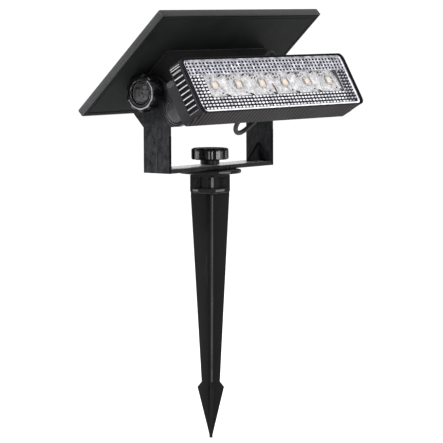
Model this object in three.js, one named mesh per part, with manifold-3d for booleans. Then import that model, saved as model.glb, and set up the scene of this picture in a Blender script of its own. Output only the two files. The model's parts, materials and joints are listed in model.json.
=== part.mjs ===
// Solar garden spike light: a U-bracket swivels on a ground stake and carries two tilting bodies,
// a solar panel with its battery housing behind, and a six-LED bar lamp in front.
// Millimetres, +Z up, +X along both tilt axes, -Y towards the lit side.
// The origin is on the stake's axis at the soil line, the underside of the stake's collar.

import * as THREE from 'three';
import { mergeVertices } from 'three/addons/utils/BufferGeometryUtils.js';
import Module from 'manifold-3d';

const wasm = await Module();
wasm.setup();

// ---------------------------------------------------------------- driving dimensions

const GAP = 0.3;                // clearance left between neighbouring solids
const SCREW_RADIUS = 1.4;
const SCREW_HEAD_RADIUS = 2.7;
const STUD_RADIUS = 2.9;        // M6 studs of the thumb knobs and the lamp's pivot bolts
const STUD_HOLE = STUD_RADIUS + 0.4;
const NUT_RADIUS = 5.7;         // M6 nut across its corners, halved
const NUT_HEIGHT = 5;

const STAKE = {
  tip: -182.5, neck: -140.5, shoulder: -144.5,
  topSpan: 14.3, neckSpan: 6.8, barbSpan: 9.9,
  rib: 2.4, collarSide: 20.6, collarHeight: 3.3,
  flangeSide: 21.6, flangeBottom: 12, flangeTop: 14.2, core: 7.6,
};
const DISC = { radius: 23.1, bottom: 14.5, top: 17.2 };
const BRACKET = { width: 124, depth: 24, arm: 2.6, base: 3, bottom: 17.5, gusset: 14, gussetWall: 2.4 };
const ARM_HEAD = {              // outline circles of the arm's head, as y, z, radius
  lampLobe: 10.8, heel: [11, 50.5, 1], nose: [17.5, 62.5, 4.5], panelHub: 12.4,
  ringOuter: 10.6, ringInner: 8.9, ringHeight: 1.6,
};
const KNOB = { radius: 13.75, lobes: 10, lobe: 0.95, skirt: 8.4, neckRadius: 7.1, neck: 3.7, cover: 4.5 };
const SIDE_KNOB = { skirt: 9.5, neck: 4.2, recess: 2.6, recessRadius: 9 };

const PANEL_PIVOT = { y: 3, z: 75.5 };
const PANEL_TILT = 43.5;        // sun face above the horizontal, facing up and back
const PANEL = { length: 188, height: 105, thick: 5.8, rim: 3, centre: 11.8, underside: -14.7 };
const HOUSING = { half: 58.5, low: -16.2, high: 28.2, floor: 8, wall: 2, corner: 1.6 };
const BATTERY = { radius: 9.15, length: 65, x: 1, y: 14, z: -4.5 };

const BUTTON = { radius: 5.6, at: [-28, -6], flange: 7, proud: 1.6, stroke: 1.2 };
const BOARD = { low: [-40, -14.0], high: [20, 2.4], bottom: -1.9, top: -0.3 };
const BOARD_POSTS = [[-36, -11.4], [16, -11.4]];
const HOUSING_SCREWS = [[-52, -10.9], [52, -10.9], [-52, 22.8], [52, 22.8]];
const LEAD_EXIT = { x: 32, z: 3 };

const LAMP_PIVOT = { y: -19, z: 62.2 };
const LAMP_LEAN = 29.5;         // lens leaning back from the vertical
const HEAD = { length: 194, height: 42.8, corner: 5, y: -2.8, z: 45.5, front: 1, body: -11.5, back: -19.5 };
const LENS = { length: 189, height: 40.4, thick: 2.5 };
const REAR = { low: -21.4, high: 12.3, corner: 4 };
const COVER = { half: 84, low: -18.2, high: 10.3, back: -23.6, wall: 2 };
const LUG = { inner: 46.5, outer: 58.5, radius: 10.4 };
const LEDS = { count: 6, pitch: 27.4, side: 7, height: 2.4 };
const RIBS = { gaps: 9, pitch: 3.9, gap: 2.3, first: -15.4, sink: 1.7, low: -11, high: -2 };
const COVER_SCREWS = [[-77, -13.8], [77, -13.8], [-77, 5.4], [77, 5.4]];
const LAMP_GLAND = { x: -13, y: -13.2 };
const LEAD_RADIUS = 1.7;
const GLAND = { length: 5.5, nut: 4.4, nutHeight: 2.2, sleeve: 3.4 };

const DEGREE = Math.PI / 180;
const ARM_OUTER = BRACKET.width / 2;
const ARM_INNER = ARM_OUTER - BRACKET.arm;
const PLATE_TOP = BRACKET.bottom + BRACKET.base;

// ---------------------------------------------------------------- solids

/** A closed solid for joining and cutting, from any three.js geometry. */
function solid(geometry) {
  const bare = geometry.clone();
  bare.deleteAttribute('normal');
  bare.deleteAttribute('uv');
  const merged = mergeVertices(bare, 1e-4);
  return new wasm.Manifold(new wasm.Mesh({
    numProp: 3,
    vertProperties: new Float32Array(merged.attributes.position.array),
    triVerts: new Uint32Array(merged.index.array),
  }));
}

/** The three.js geometry of a joined or cut solid. */
function geometryOf(manifold) {
  const mesh = manifold.getMesh();
  const geometry = new THREE.BufferGeometry();
  geometry.setAttribute('position', new THREE.BufferAttribute(new Float32Array(mesh.vertProperties), 3));
  geometry.setIndex(new THREE.BufferAttribute(new Uint32Array(mesh.triVerts), 1));
  geometry.computeVertexNormals();
  return geometry;
}

function join(...geometries) {
  return geometries.map(solid).reduce((whole, piece) => whole.add(piece));
}

function cut(whole, ...geometries) {
  return geometries.map(solid).reduce((rest, piece) => rest.subtract(piece), whole);
}

/** A box between two corners. */
function block(low, high) {
  const size = high.map((value, i) => value - low[i]);
  const geometry = new THREE.BoxGeometry(...size);
  geometry.translate(...low.map((value, i) => value + size[i] / 2));
  return geometry;
}

/** A cylinder along x, y or z, from one coordinate to another, through a centre in the other two. */
function rod(axis, radius, from, to, centre = [0, 0], sides = 20) {
  const geometry = new THREE.CylinderGeometry(radius, radius, Math.abs(to - from), sides);
  const middle = (from + to) / 2;
  if (axis === 'x') {
    geometry.rotateZ(-Math.PI / 2);
    geometry.translate(middle, centre[0], centre[1]);
  } else if (axis === 'y') {
    geometry.translate(centre[0], middle, centre[1]);
  } else {
    geometry.rotateX(Math.PI / 2);
    geometry.translate(centre[0], centre[1], middle);
  }
  return geometry;
}

/** A washer-shaped ring along z. */
function ring(outer, inner, from, to, sides = 32) {
  const bore = rod('z', inner, from - 1, to + 1, [0, 0], sides);
  return cut(join(rod('z', outer, from, to, [0, 0], sides)), bore);
}

function roundedRectangle(width, height, radius) {
  const shape = new THREE.Shape();
  const x = width / 2 - radius;
  const y = height / 2 - radius;
  shape.absarc(x, y, radius, 0, 90 * DEGREE);
  shape.absarc(-x, y, radius, 90 * DEGREE, 180 * DEGREE);
  shape.absarc(-x, -y, radius, 180 * DEGREE, 270 * DEGREE);
  shape.absarc(x, -y, radius, 270 * DEGREE, 360 * DEGREE);
  return shape;
}

/** A flat shape in x and y, extruded along z from one height to another. */
function slab(shape, from, to, steps = 4) {
  const geometry = new THREE.ExtrudeGeometry(shape, {
    depth: to - from, bevelEnabled: false, curveSegments: steps,
  });
  geometry.translate(0, 0, from);
  return geometry;
}

/** The slab of a rounded rectangle whose centre is moved along y. */
function pad(width, height, radius, from, to, y = 0) {
  const geometry = slab(roundedRectangle(width, height, radius), from, to);
  geometry.translate(0, y, 0);
  return geometry;
}

/** The outline around circles given as [x, y, radius], in counter-clockwise order. */
function hullOfCircles(circles) {
  const shape = new THREE.Shape();
  circles.forEach(([x, y, r], i) => {
    const [px, py, pr] = circles[(i + circles.length - 1) % circles.length];
    const [nx, ny, nr] = circles[(i + 1) % circles.length];
    const start = tangentAngle(px, py, pr, x, y, r);
    const end = tangentAngle(x, y, r, nx, ny, nr);
    const sweep = ((end - start) % (2 * Math.PI) + 2 * Math.PI) % (2 * Math.PI);
    shape.absarc(x, y, r, start, start + sweep);
  });
  return shape;
}

/** The direction from either centre to the line that touches both circles on their right-hand side. */
function tangentAngle(ax, ay, ar, bx, by, br) {
  const along = Math.atan2(by - ay, bx - ax);
  return along - Math.PI / 2 + Math.asin((br - ar) / Math.hypot(bx - ax, by - ay));
}

/** A shape drawn in y and z, extruded along x from one coordinate to another. */
function crossSlab(shape, from, to, steps = 6) {
  const geometry = slab(shape, 0, to - from, steps);
  geometry.rotateX(Math.PI / 2);
  geometry.rotateZ(Math.PI / 2);
  geometry.translate(from, 0, 0);
  return geometry;
}

function polygon(points) {
  return new THREE.Shape(points.map(([x, y]) => new THREE.Vector2(x, y)));
}

/** A six-sided nut along an axis with its thread hole. */
function nut(axis, from, to, centre = [0, 0]) {
  const sign = Math.sign(to - from);
  return cut(
    join(rod(axis, NUT_RADIUS, from, to, centre, 6)),
    rod(axis, STUD_HOLE, from - sign, to + sign, centre, 16),
  );
}

// ---------------------------------------------------------------- materials and nodes

const colours = {               // colour, roughness, metalness
  stake: [0x1d1e20, 0.55, 0],
  bracket: [0x2b2c2f, 0.55, 0],
  knob: [0x17181a, 0.42, 0],
  cap: [0x3a3b3e, 0.4, 0],
  tray: [0x303134, 0.5, 0],
  housing: [0x242528, 0.55, 0],
  lamp: [0x3a3b3e, 0.5, 0],
  lens: [0xe8ecf0, 0.1, 0],
  glass: [0x0c1420, 0.08, 0],
  cells: [0x0a1230, 0.3, 0.1],
  steel: [0xb4b6b8, 0.3, 0.9],
  brass: [0xc29a4c, 0.35, 0.9],
  rubber: [0x141414, 0.8, 0],
  board: [0x1c5a3a, 0.5, 0],
  whiteBoard: [0xf1f2f0, 0.5, 0],
  led: [0xf4dcae, 0.35, 0],
  battery: [0x2c6aa8, 0.4, 0],
  holder: [0x18181a, 0.6, 0],
};
const materials = Object.fromEntries(Object.entries(colours).map(([name, [color, roughness, metalness]]) => [
  name, new THREE.MeshStandardMaterial({ color, roughness, metalness }),
]));

function node(group, name, shape, material) {
  const geometry = shape.isBufferGeometry ? shape : geometryOf(shape);
  const mesh = new THREE.Mesh(geometry, materials[material]);
  mesh.name = name;
  group.add(mesh);
}

// ---------------------------------------------------------------- ground stake

/** One of the two crossed blades, as half spans down the stake from the collar to the barbed tip. */
function bladeOutline() {
  const side = [
    [STAKE.topSpan, STAKE.collarHeight / 2], [STAKE.neckSpan, STAKE.neck],
    [STAKE.barbSpan, STAKE.shoulder], [1, STAKE.tip + 1.4], [0.4, STAKE.tip],
  ];
  const mirrored = side.map(([span, z]) => [-span, z]).reverse();
  return polygon([...mirrored, ...side]);
}

function blade(turn) {
  const geometry = slab(bladeOutline(), -STAKE.rib / 2, STAKE.rib / 2);
  geometry.rotateX(Math.PI / 2);
  geometry.rotateZ(turn);
  return geometry;
}

/** A square plate with clipped corners. */
function clippedSquare(side, clip, from, to) {
  const h = side / 2;
  const k = h - clip;
  return slab(polygon([[h, -k], [h, k], [k, h], [-k, h], [-h, k], [-h, -k], [-k, -h], [k, -h]]), from, to);
}

function headRib(turn) {
  const span = STAKE.flangeSide / Math.SQRT2 - 0.6;
  const geometry = block([-span, -1.4, 1], [span, 1.4, STAKE.flangeBottom + 1]);
  geometry.rotateZ(turn);
  return geometry;
}

const STUD_BOTTOM = 2.6;
const NUT_TOP = STAKE.flangeTop - 0.5;

function groundStake() {
  const body = join(
    blade(45 * DEGREE), blade(-45 * DEGREE), headRib(45 * DEGREE), headRib(-45 * DEGREE),
    clippedSquare(STAKE.collarSide, 1.2, 0, STAKE.collarHeight),
    clippedSquare(STAKE.flangeSide, 1.4, STAKE.flangeBottom, STAKE.flangeTop),
    rod('z', STAKE.core, 0, STAKE.flangeTop, [0, 0], 24),
  );
  return cut(
    body,
    rod('z', NUT_RADIUS + GAP, NUT_TOP - NUT_HEIGHT - GAP, STAKE.flangeTop + 1, [0, 0], 6),
    rod('z', STUD_HOLE, STUD_BOTTOM - 1, STAKE.flangeTop, [0, 0], 16),
  );
}

// ---------------------------------------------------------------- bracket

/** The head of an arm: panel hub, lamp lobe, and the rear nose that stops the panel. */
function armHead() {
  return hullOfCircles([
    [LAMP_PIVOT.y, LAMP_PIVOT.z, ARM_HEAD.lampLobe], ARM_HEAD.heel, ARM_HEAD.nose,
    [PANEL_PIVOT.y, PANEL_PIVOT.z, ARM_HEAD.panelHub],
  ]);
}

/** The triangular web between the base plate and an arm. */
function gusset(side) {
  const corner = side * ARM_INNER;
  const foot = side * (ARM_INNER - BRACKET.gusset);
  const top = PLATE_TOP + BRACKET.gusset;
  const outline = side > 0
    ? [[foot, PLATE_TOP], [corner, PLATE_TOP], [corner, top]]
    : [[corner, PLATE_TOP], [foot, PLATE_TOP], [corner, top]];
  const geometry = slab(polygon(outline), -BRACKET.gussetWall / 2, BRACKET.gussetWall / 2);
  geometry.rotateX(Math.PI / 2);
  return geometry;
}

/** The raised ring around the lamp's pivot bolt, on the outside of an arm. */
function pivotRing(side) {
  const face = side * ARM_OUTER;
  const centre = [LAMP_PIVOT.y, LAMP_PIVOT.z];
  return cut(
    join(rod('x', ARM_HEAD.ringOuter, face, face + side * ARM_HEAD.ringHeight, centre, 28)),
    rod('x', ARM_HEAD.ringInner, face - side, face + side * (ARM_HEAD.ringHeight + 1), centre, 28),
  );
}

function arm(side) {
  const from = side < 0 ? -ARM_OUTER : ARM_INNER;
  const to = from + BRACKET.arm;
  const half = BRACKET.depth / 2;
  const plate = join(
    block([from, -half, BRACKET.bottom], [to, half, PANEL_PIVOT.z]),
    crossSlab(armHead(), from, to),
  );
  return cut(
    plate,
    rod('x', STUD_HOLE, from - 1, to + 1, [LAMP_PIVOT.y, LAMP_PIVOT.z], 16),
    rod('x', STUD_HOLE, from - 1, to + 1, [PANEL_PIVOT.y, PANEL_PIVOT.z], 16),
  ).add(pivotRing(side)).add(solid(gusset(side)));
}

function uBracket() {
  const half = BRACKET.depth / 2;
  const base = join(block([-ARM_OUTER, -half, BRACKET.bottom], [ARM_OUTER, half, PLATE_TOP]));
  return cut(base.add(arm(-1)).add(arm(1)), rod('z', STUD_HOLE + GAP, DISC.top, PLATE_TOP + 1, [0, 0], 16));
}

// ---------------------------------------------------------------- thumb knobs

function lobedOutline() {
  const points = [];
  const steps = KNOB.lobes * 4;
  for (let i = 0; i < steps; i += 1) {
    const angle = (i / steps) * 2 * Math.PI;
    const radius = KNOB.radius - KNOB.lobe + KNOB.lobe * Math.cos(KNOB.lobes * angle);
    points.push([radius * Math.cos(angle), radius * Math.sin(angle)]);
  }
  return polygon(points);
}

/** A thumb knob standing on z = 0 with its neck down, and a bore for its stud. */
function knob(neck, skirt) {
  const neckRod = rod('z', KNOB.neckRadius, 0, neck + 1, [0, 0], 24);
  const bore = rod('z', STUD_HOLE, -1, neck + skirt - KNOB.cover, [0, 0], 16);
  return cut(join(slab(lobedOutline(), neck, neck + skirt), neckRod), bore);
}

/** A side knob lying along x with its face outwards and a round recess for its cap. */
function sideKnob(side) {
  const face = SIDE_KNOB.neck + SIDE_KNOB.skirt;
  const recess = rod('z', SIDE_KNOB.recessRadius, face - SIDE_KNOB.recess, face + 1, [0, 0], 24);
  return lieAlongX(geometryOf(cut(knob(SIDE_KNOB.neck, SIDE_KNOB.skirt), recess)), side);
}

function lieAlongX(geometry, side) {
  geometry.rotateY(side * Math.PI / 2);
  geometry.translate(side * (ARM_OUTER + GAP), 0, 0);
  return geometry;
}

function sideCap(side) {
  const top = SIDE_KNOB.neck + SIDE_KNOB.skirt - 0.5;
  const bottom = SIDE_KNOB.neck + SIDE_KNOB.skirt - SIDE_KNOB.recess + GAP;
  return lieAlongX(rod('z', SIDE_KNOB.recessRadius - GAP - 0.2, bottom, top, [0, 0], 24), side);
}

function sideStud(side) {
  const outer = ARM_OUTER + GAP + SIDE_KNOB.neck + SIDE_KNOB.skirt - 5;
  return rod('x', STUD_RADIUS, side * outer, side * (HOUSING.half - 9), [0, 0], 16);
}

// ---------------------------------------------------------------- solar panel
// Drawn lying flat: local z points out of its underside and local y up its slope.

const TRAY_FLOOR = 2.6;
const SUN_FACE = PANEL.underside - PANEL.thick;
const POCKET = PANEL.underside - TRAY_FLOOR;
const BOSS_END = -6;
const RIM_Z = PANEL.underside + 1.1;
const INNER_FLOOR = HOUSING.floor - HOUSING.wall;

function panelTray() {
  const inside = [PANEL.length - 2 * PANEL.rim, PANEL.height - 2 * PANEL.rim];
  const tray = cut(
    join(pad(PANEL.length, PANEL.height, 1.2, SUN_FACE, PANEL.underside, PANEL.centre)),
    pad(...inside, 1, SUN_FACE - 1, POCKET, PANEL.centre),
  );
  const bosses = HOUSING_SCREWS.map((at) => rod('z', 3, PANEL.underside - 0.5, BOSS_END, at, 12));
  const pilots = HOUSING_SCREWS.map((at) => rod('z', SCREW_RADIUS + GAP, BOSS_END - 7, BOSS_END + 1, at, 10));
  return cut(tray.add(join(...bosses)), ...pilots, rod('z', 2, POCKET - 1, PANEL.underside + 1, [30, 0], 12));
}

function housingOutline(inset, from, to) {
  const width = 2 * (HOUSING.half - inset);
  const height = HOUSING.high - HOUSING.low - 2 * inset;
  return pad(width, height, HOUSING.corner - inset / 4, from, to, (HOUSING.high + HOUSING.low) / 2);
}

function batteryHousing() {
  const shell = cut(
    join(housingOutline(0, RIM_Z, HOUSING.floor)),
    housingOutline(HOUSING.wall, RIM_Z - 1, INNER_FLOOR),
  );
  const posts = HOUSING_SCREWS.map((at) => rod('z', 3.6, BOSS_END + GAP, INNER_FLOOR + 0.5, at, 12));
  const bores = [-1, 1].map((side) => (
    rod('x', 7.4, side * (HOUSING.half - 0.5), side * (HOUSING.half - 9), [0, 0], 20)
  ));
  const screwHoles = HOUSING_SCREWS.flatMap((at) => [
    rod('z', SCREW_RADIUS + GAP, BOSS_END - 1, HOUSING.floor + 1, at, 10),
    rod('z', SCREW_HEAD_RADIUS + GAP, HOUSING.floor - 2.4, HOUSING.floor + 1, at, 14),
  ]);
  const boardPosts = BOARD_POSTS.map((at) => rod('z', 2, BOARD.top + GAP, INNER_FLOOR + 0.5, at, 10));
  const pivotHoles = [-1, 1].flatMap((side) => [
    rod('x', STUD_HOLE, side * (HOUSING.half + 1), side * (HOUSING.half - 10), [0, 0], 16),
    rod('x', NUT_RADIUS + GAP, side * (HOUSING.half - 3), side * (HOUSING.half - 10), [0, 0], 6),
  ]);
  const buttonHole = rod('z', BUTTON.radius + 0.4, INNER_FLOOR - 1, HOUSING.floor + 1, BUTTON.at, 20);
  const exit = [LEAD_EXIT.x, LEAD_EXIT.z];
  const leadHole = rod('y', LEAD_RADIUS + GAP, HOUSING.high - 4, HOUSING.high + 1, exit, 12);
  const whole = shell.add(join(...posts, ...bores, ...boardPosts));
  return cut(whole, ...screwHoles, ...pivotHoles, buttonHole, leadHole);
}

function powerButton() {
  return join(
    rod('z', BUTTON.flange, INNER_FLOOR - GAP - 1.2, INNER_FLOOR - GAP, BUTTON.at, 24),
    rod('z', BUTTON.radius, INNER_FLOOR - 1, HOUSING.floor + BUTTON.proud, BUTTON.at, 24),
  );
}

function pushSwitch() {
  const [x, y] = BUTTON.at;
  return block([x - 3.1, y - 3.1, BOARD.top + GAP], [x + 3.1, y + 3.1, 3]);
}

function batteryHolder() {
  const inner = BATTERY.length / 2 + 2.8;
  const centre = [BATTERY.y, BATTERY.z];
  return cut(
    join(block(
      [BATTERY.x - inner - 2.5, BATTERY.y - 10.4, BATTERY.z],
      [BATTERY.x + inner + 2.5, BATTERY.y + 10.4, INNER_FLOOR - GAP],
    )),
    rod('x', BATTERY.radius + GAP, BATTERY.x - inner, BATTERY.x + inner, centre, 28),
  );
}

function housingGasket() {
  return cut(
    join(housingOutline(0, PANEL.underside + GAP, RIM_Z - GAP)),
    housingOutline(HOUSING.wall, PANEL.underside, RIM_Z),
  );
}

function housingScrew(at) {
  const seat = HOUSING.floor - 2.4 + GAP;
  return join(
    rod('z', SCREW_RADIUS, BOSS_END - 5, seat + 0.5, at, 10),
    rod('z', SCREW_HEAD_RADIUS, seat, seat + 1.8, at, 14),
  );
}

function gland(axis, from, to, centre) {
  const sign = Math.sign(to - from);
  return cut(
    join(
      rod(axis, GLAND.nut, from, from + sign * GLAND.nutHeight, centre, 6),
      rod(axis, GLAND.sleeve, from, to, centre, 16),
    ),
    rod(axis, LEAD_RADIUS + GAP, from - sign, to + sign, centre, 12),
  );
}

const panel = new THREE.Group();
panel.position.set(0, PANEL_PIVOT.y, PANEL_PIVOT.z);
panel.rotation.x = (180 - PANEL_TILT) * DEGREE;

function buildPanel() {
  const inside = [PANEL.length - 2 * PANEL.rim, PANEL.height - 2 * PANEL.rim];
  const shrink = (by) => inside.map((value) => value - by);
  node(panel, 'panel_tray', panelTray(), 'tray');
  const cellBack = POCKET - 0.9;
  const glass = pad(...shrink(2 * GAP), 1, SUN_FACE + 0.2, cellBack - GAP, PANEL.centre);
  node(panel, 'solar_cells', pad(...shrink(5), 1, cellBack, POCKET - GAP, PANEL.centre), 'cells');
  node(panel, 'solar_glass', glass, 'glass');
  node(panel, 'battery_housing', batteryHousing(), 'housing');
  node(panel, 'housing_gasket', housingGasket(), 'rubber');
  HOUSING_SCREWS.forEach((at, i) => node(panel, `housing_screw_${i + 1}`, housingScrew(at), 'steel'));

  const cellEnd = BATTERY.length / 2;
  const centre = [BATTERY.y, BATTERY.z];
  const cell = rod('x', BATTERY.radius, BATTERY.x - cellEnd, BATTERY.x + cellEnd, centre, 24);
  node(panel, 'battery_cell', cell, 'battery');
  node(panel, 'battery_holder', batteryHolder(), 'holder');
  node(panel, 'battery_spring',
    rod('x', 3.6, BATTERY.x - cellEnd - 2.5, BATTERY.x - cellEnd - GAP, centre, 12), 'steel');
  node(panel, 'battery_contact',
    rod('x', 4.2, BATTERY.x + cellEnd + GAP, BATTERY.x + cellEnd + 1, centre, 12), 'steel');
  node(panel, 'control_board', block([...BOARD.low, BOARD.bottom], [...BOARD.high, BOARD.top]), 'board');
  node(panel, 'push_switch', pushSwitch(), 'holder');
  node(panel, 'power_button', powerButton(), 'rubber');
  node(panel, 'panel_gland',
    gland('y', HOUSING.high + GAP, HOUSING.high + GLAND.length, [LEAD_EXIT.x, LEAD_EXIT.z]), 'rubber');
  for (const [name, side] of [['left', -1], ['right', 1]]) {
    const nutFace = HOUSING.half - 3.5;
    node(panel, `panel_nut_${name}`, nut('x', side * nutFace, side * (nutFace - NUT_HEIGHT)), 'brass');
    node(panel, `knob_${name}`, sideKnob(side), 'knob');
    node(panel, `knob_stud_${name}`, sideStud(side), 'steel');
    node(panel, `knob_cap_${name}`, sideCap(side), 'cap');
  }
}

// ---------------------------------------------------------------- lamp head
// Drawn lying flat: local z points out of the lens and local y up it.

const SEAT = -3.6;
const PARTITION = -10;
const REAR_HEIGHT = REAR.high - REAR.low;
const REAR_CENTRE = (REAR.high + REAR.low) / 2;

/** The cuts between the short cooling ribs on one end wall. */
function ribGaps(side) {
  const wall = side * HEAD.length / 2;
  const near = Math.min(wall - side * RIBS.sink, wall + side);
  const far = Math.max(wall - side * RIBS.sink, wall + side);
  return Array.from({ length: RIBS.gaps }, (_, i) => {
    const y = RIBS.first + i * RIBS.pitch;
    return block([near, y - RIBS.gap / 2, RIBS.low], [far, y + RIBS.gap / 2, RIBS.high]);
  });
}

function lampHousing() {
  const body = join(
    pad(HEAD.length, HEAD.height, HEAD.corner, HEAD.body, HEAD.front),
    pad(HEAD.length, REAR_HEIGHT, REAR.corner, HEAD.back, HEAD.body + 0.5, REAR_CENTRE),
  );
  return cut(
    body,
    pad(LENS.length + 0.8, LENS.height + 0.8, 4.6, SEAT, HEAD.front + 1),
    pad(LENS.length - 6, LENS.height - 5, 2.5, PARTITION, SEAT + 1),
    pad(140, 23, 2, HEAD.back - 1, PARTITION - 2, REAR_CENTRE),
    rod('z', 2, PARTITION - 3, PARTITION + 1, [0, -6], 12),
    ...COVER_SCREWS.map((at) => rod('z', SCREW_RADIUS + GAP, HEAD.back - 1, HEAD.back + 5, at, 10)),
    ...ribGaps(-1), ...ribGaps(1),
  );
}

/** A hinge lug reaching back from the cover to the lamp's pivot. */
function lug(side) {
  const from = side < 0 ? -LUG.outer : LUG.inner;
  const outline = hullOfCircles([
    [-HEAD.y, -HEAD.z, LUG.radius], [COVER.high - 2, COVER.back + 2, 2], [COVER.low + 2, COVER.back + 2, 2],
  ]);
  return crossSlab(outline, from, from + LUG.outer - LUG.inner);
}

function rearCover() {
  const height = COVER.high - COVER.low;
  const centre = (COVER.high + COVER.low) / 2;
  const front = HEAD.back - GAP;
  const body = join(pad(2 * COVER.half, height, 3.5, COVER.back, front, centre), lug(-1), lug(1));
  return cut(
    body,
    pad(130, 20, 2, COVER.back + COVER.wall, front + 1, centre),
    ...[-1, 1].map((side) => (
      rod('x', STUD_HOLE, side * (LUG.inner - 1), side * (LUG.outer + 1), [-HEAD.y, -HEAD.z], 16)
    )),
    ...COVER_SCREWS.flatMap((at) => [
      rod('z', SCREW_RADIUS + GAP, COVER.back - 1, front + 1, at, 10),
      rod('z', SCREW_HEAD_RADIUS + GAP, COVER.back - 1, COVER.back + 2.4, at, 14),
    ]),
    rod('z', LEAD_RADIUS + GAP, COVER.back - 1, COVER.back + 4, [LAMP_GLAND.x, LAMP_GLAND.y], 12),
  );
}

function coverScrew(at) {
  const seat = COVER.back + 2.4 - GAP;
  return join(
    rod('z', SCREW_HEAD_RADIUS, seat - 1.8, seat, at, 14),
    rod('z', SCREW_RADIUS, seat - 0.5, HEAD.back + 4, at, 10),
  );
}

/** A pivot bolt whose wide low head sits in the ring on the arm. */
function pivotBolt(side) {
  const centre = [-HEAD.y, -HEAD.z];
  const face = ARM_OUTER + GAP;
  return join(
    rod('x', 8.4, side * face, side * (face + 1.5), centre, 28),
    rod('x', 6.4, side * (face + 1), side * (face + 2.1), centre, 28),
    rod('x', STUD_RADIUS, side * (LUG.inner - 6.5), side * (face + 1), centre, 16),
  );
}

const lamp = new THREE.Group();
lamp.position.set(0, LAMP_PIVOT.y, LAMP_PIVOT.z);
lamp.rotation.x = (90 - LAMP_LEAN) * DEGREE;
const head = new THREE.Group();
head.position.set(0, HEAD.y, HEAD.z);
lamp.add(head);

function buildLamp() {
  node(head, 'lamp_housing', lampHousing(), 'lamp');
  node(head, 'lamp_lens', pad(LENS.length, LENS.height, 4.2, -LENS.thick, 0), 'lens');
  node(head, 'lens_gasket', cut(
    join(pad(LENS.length - 1, LENS.height - 1, 3.8, SEAT + GAP, -LENS.thick - GAP)),
    pad(LENS.length - 5, LENS.height - 4.4, 2, SEAT, -LENS.thick),
  ), 'rubber');
  node(head, 'led_board', pad(178, 30, 1, PARTITION + GAP, PARTITION + GAP + 1.6), 'whiteBoard');
  const seat = PARTITION + 2 * GAP + 1.6;
  for (let i = 0; i < LEDS.count; i += 1) {
    const x = (i - (LEDS.count - 1) / 2) * LEDS.pitch;
    const half = LEDS.side / 2;
    node(head, `led_${i + 1}`, block([x - half, -half, seat], [x + half, half, seat + LEDS.height]), 'led');
  }
  node(head, 'lamp_rear_cover', rearCover(), 'lamp');
  COVER_SCREWS.forEach((at, i) => node(head, `cover_screw_${i + 1}`, coverScrew(at), 'steel'));
  node(head, 'lamp_gland',
    gland('z', COVER.back - GAP, COVER.back - GAP - GLAND.length, [LAMP_GLAND.x, LAMP_GLAND.y]), 'rubber');
  for (const [name, side] of [['left', -1], ['right', 1]]) {
    node(head, `lamp_bolt_${name}`, pivotBolt(side), 'cap');
    node(head, `lamp_nut_${name}`,
      nut('x', side * (LUG.inner - GAP), side * (LUG.inner - GAP - NUT_HEIGHT), [-HEAD.y, -HEAD.z]), 'steel');
  }
}

// ---------------------------------------------------------------- lead between the two housings

/** Points from the panel's gland, over and down behind the lamp, under it and up into its gland. */
const LEAD_ROUTE = [
  [32, -22.6, 95.7], [32, -24.9, 97.9], [32.3, -26.9, 100.2], [34, -28.2, 102.2], [37, -28.6, 102.8],
  [40.2, -28.4, 101.2], [42.2, -28, 97.4], [42.8, -27.6, 92.4], [42.2, -27.2, 86.8], [40.6, -27, 80.8],
  [38, -26.9, 74.6], [35, -27, 68.6], [31.4, -27.1, 62.8], [26.8, -27.2, 58.0], [21.4, -27.2, 54.2],
  [15.4, -27.6, 51.0], [9.2, -28.2, 48.2], [2.8, -29.0, 46.0], [-2.8, -30.0, 45.0], [-7.8, -31.2, 45.6],
  [-11.4, -32.8, 48.0], [-12.7, -34.6, 51.0], [-13, -36.8, 53.7], [-13, -39.4, 55.4], [-13, -42.1, 56.9],
];

function lampLead() {
  const curve = new THREE.CatmullRomCurve3(LEAD_ROUTE.map((point) => new THREE.Vector3(...point)));
  const section = new THREE.Shape();
  section.absarc(0, 0, LEAD_RADIUS, 0, 2 * Math.PI);
  return new THREE.ExtrudeGeometry(section, {
    steps: 44, curveSegments: 4, extrudePath: curve, bevelEnabled: false,
  });
}

// ---------------------------------------------------------------- assembly

const light = new THREE.Group();
node(light, 'ground_stake', groundStake(), 'stake');
node(light, 'stake_nut', nut('z', NUT_TOP - NUT_HEIGHT, NUT_TOP), 'brass');
node(light, 'swivel_disc', ring(DISC.radius, STUD_HOLE + GAP, DISC.bottom, DISC.top), 'stake');
node(light, 'u_bracket', uBracket(), 'bracket');

const baseKnob = geometryOf(knob(KNOB.neck, KNOB.skirt));
baseKnob.translate(0, 0, PLATE_TOP + GAP);
node(light, 'base_knob', baseKnob, 'knob');
const studTop = PLATE_TOP + GAP + KNOB.neck + KNOB.skirt - 5;
node(light, 'base_stud', rod('z', STUD_RADIUS, STUD_BOTTOM, studTop, [0, 0], 16), 'steel');

buildPanel();
buildLamp();
node(light, 'lamp_lead', lampLead(), 'rubber');
light.add(panel, lamp);

export default light;
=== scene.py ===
"""Solar garden spike light: detailed pieces and finishes over the CAD frame.

Metres, +Z up the stake, +X along both tilt axes, -Y towards the side the lamp lights.
The panel and the lamp are built lying flat in their own frames, with local y up the slope
and local z out of the panel's underside or out of the lens.
"""

import json
from math import asin, atan2, copysign, cos, hypot, pi, radians, sin, tan

import bmesh
import bpy
from mathutils import Matrix, Vector


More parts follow.
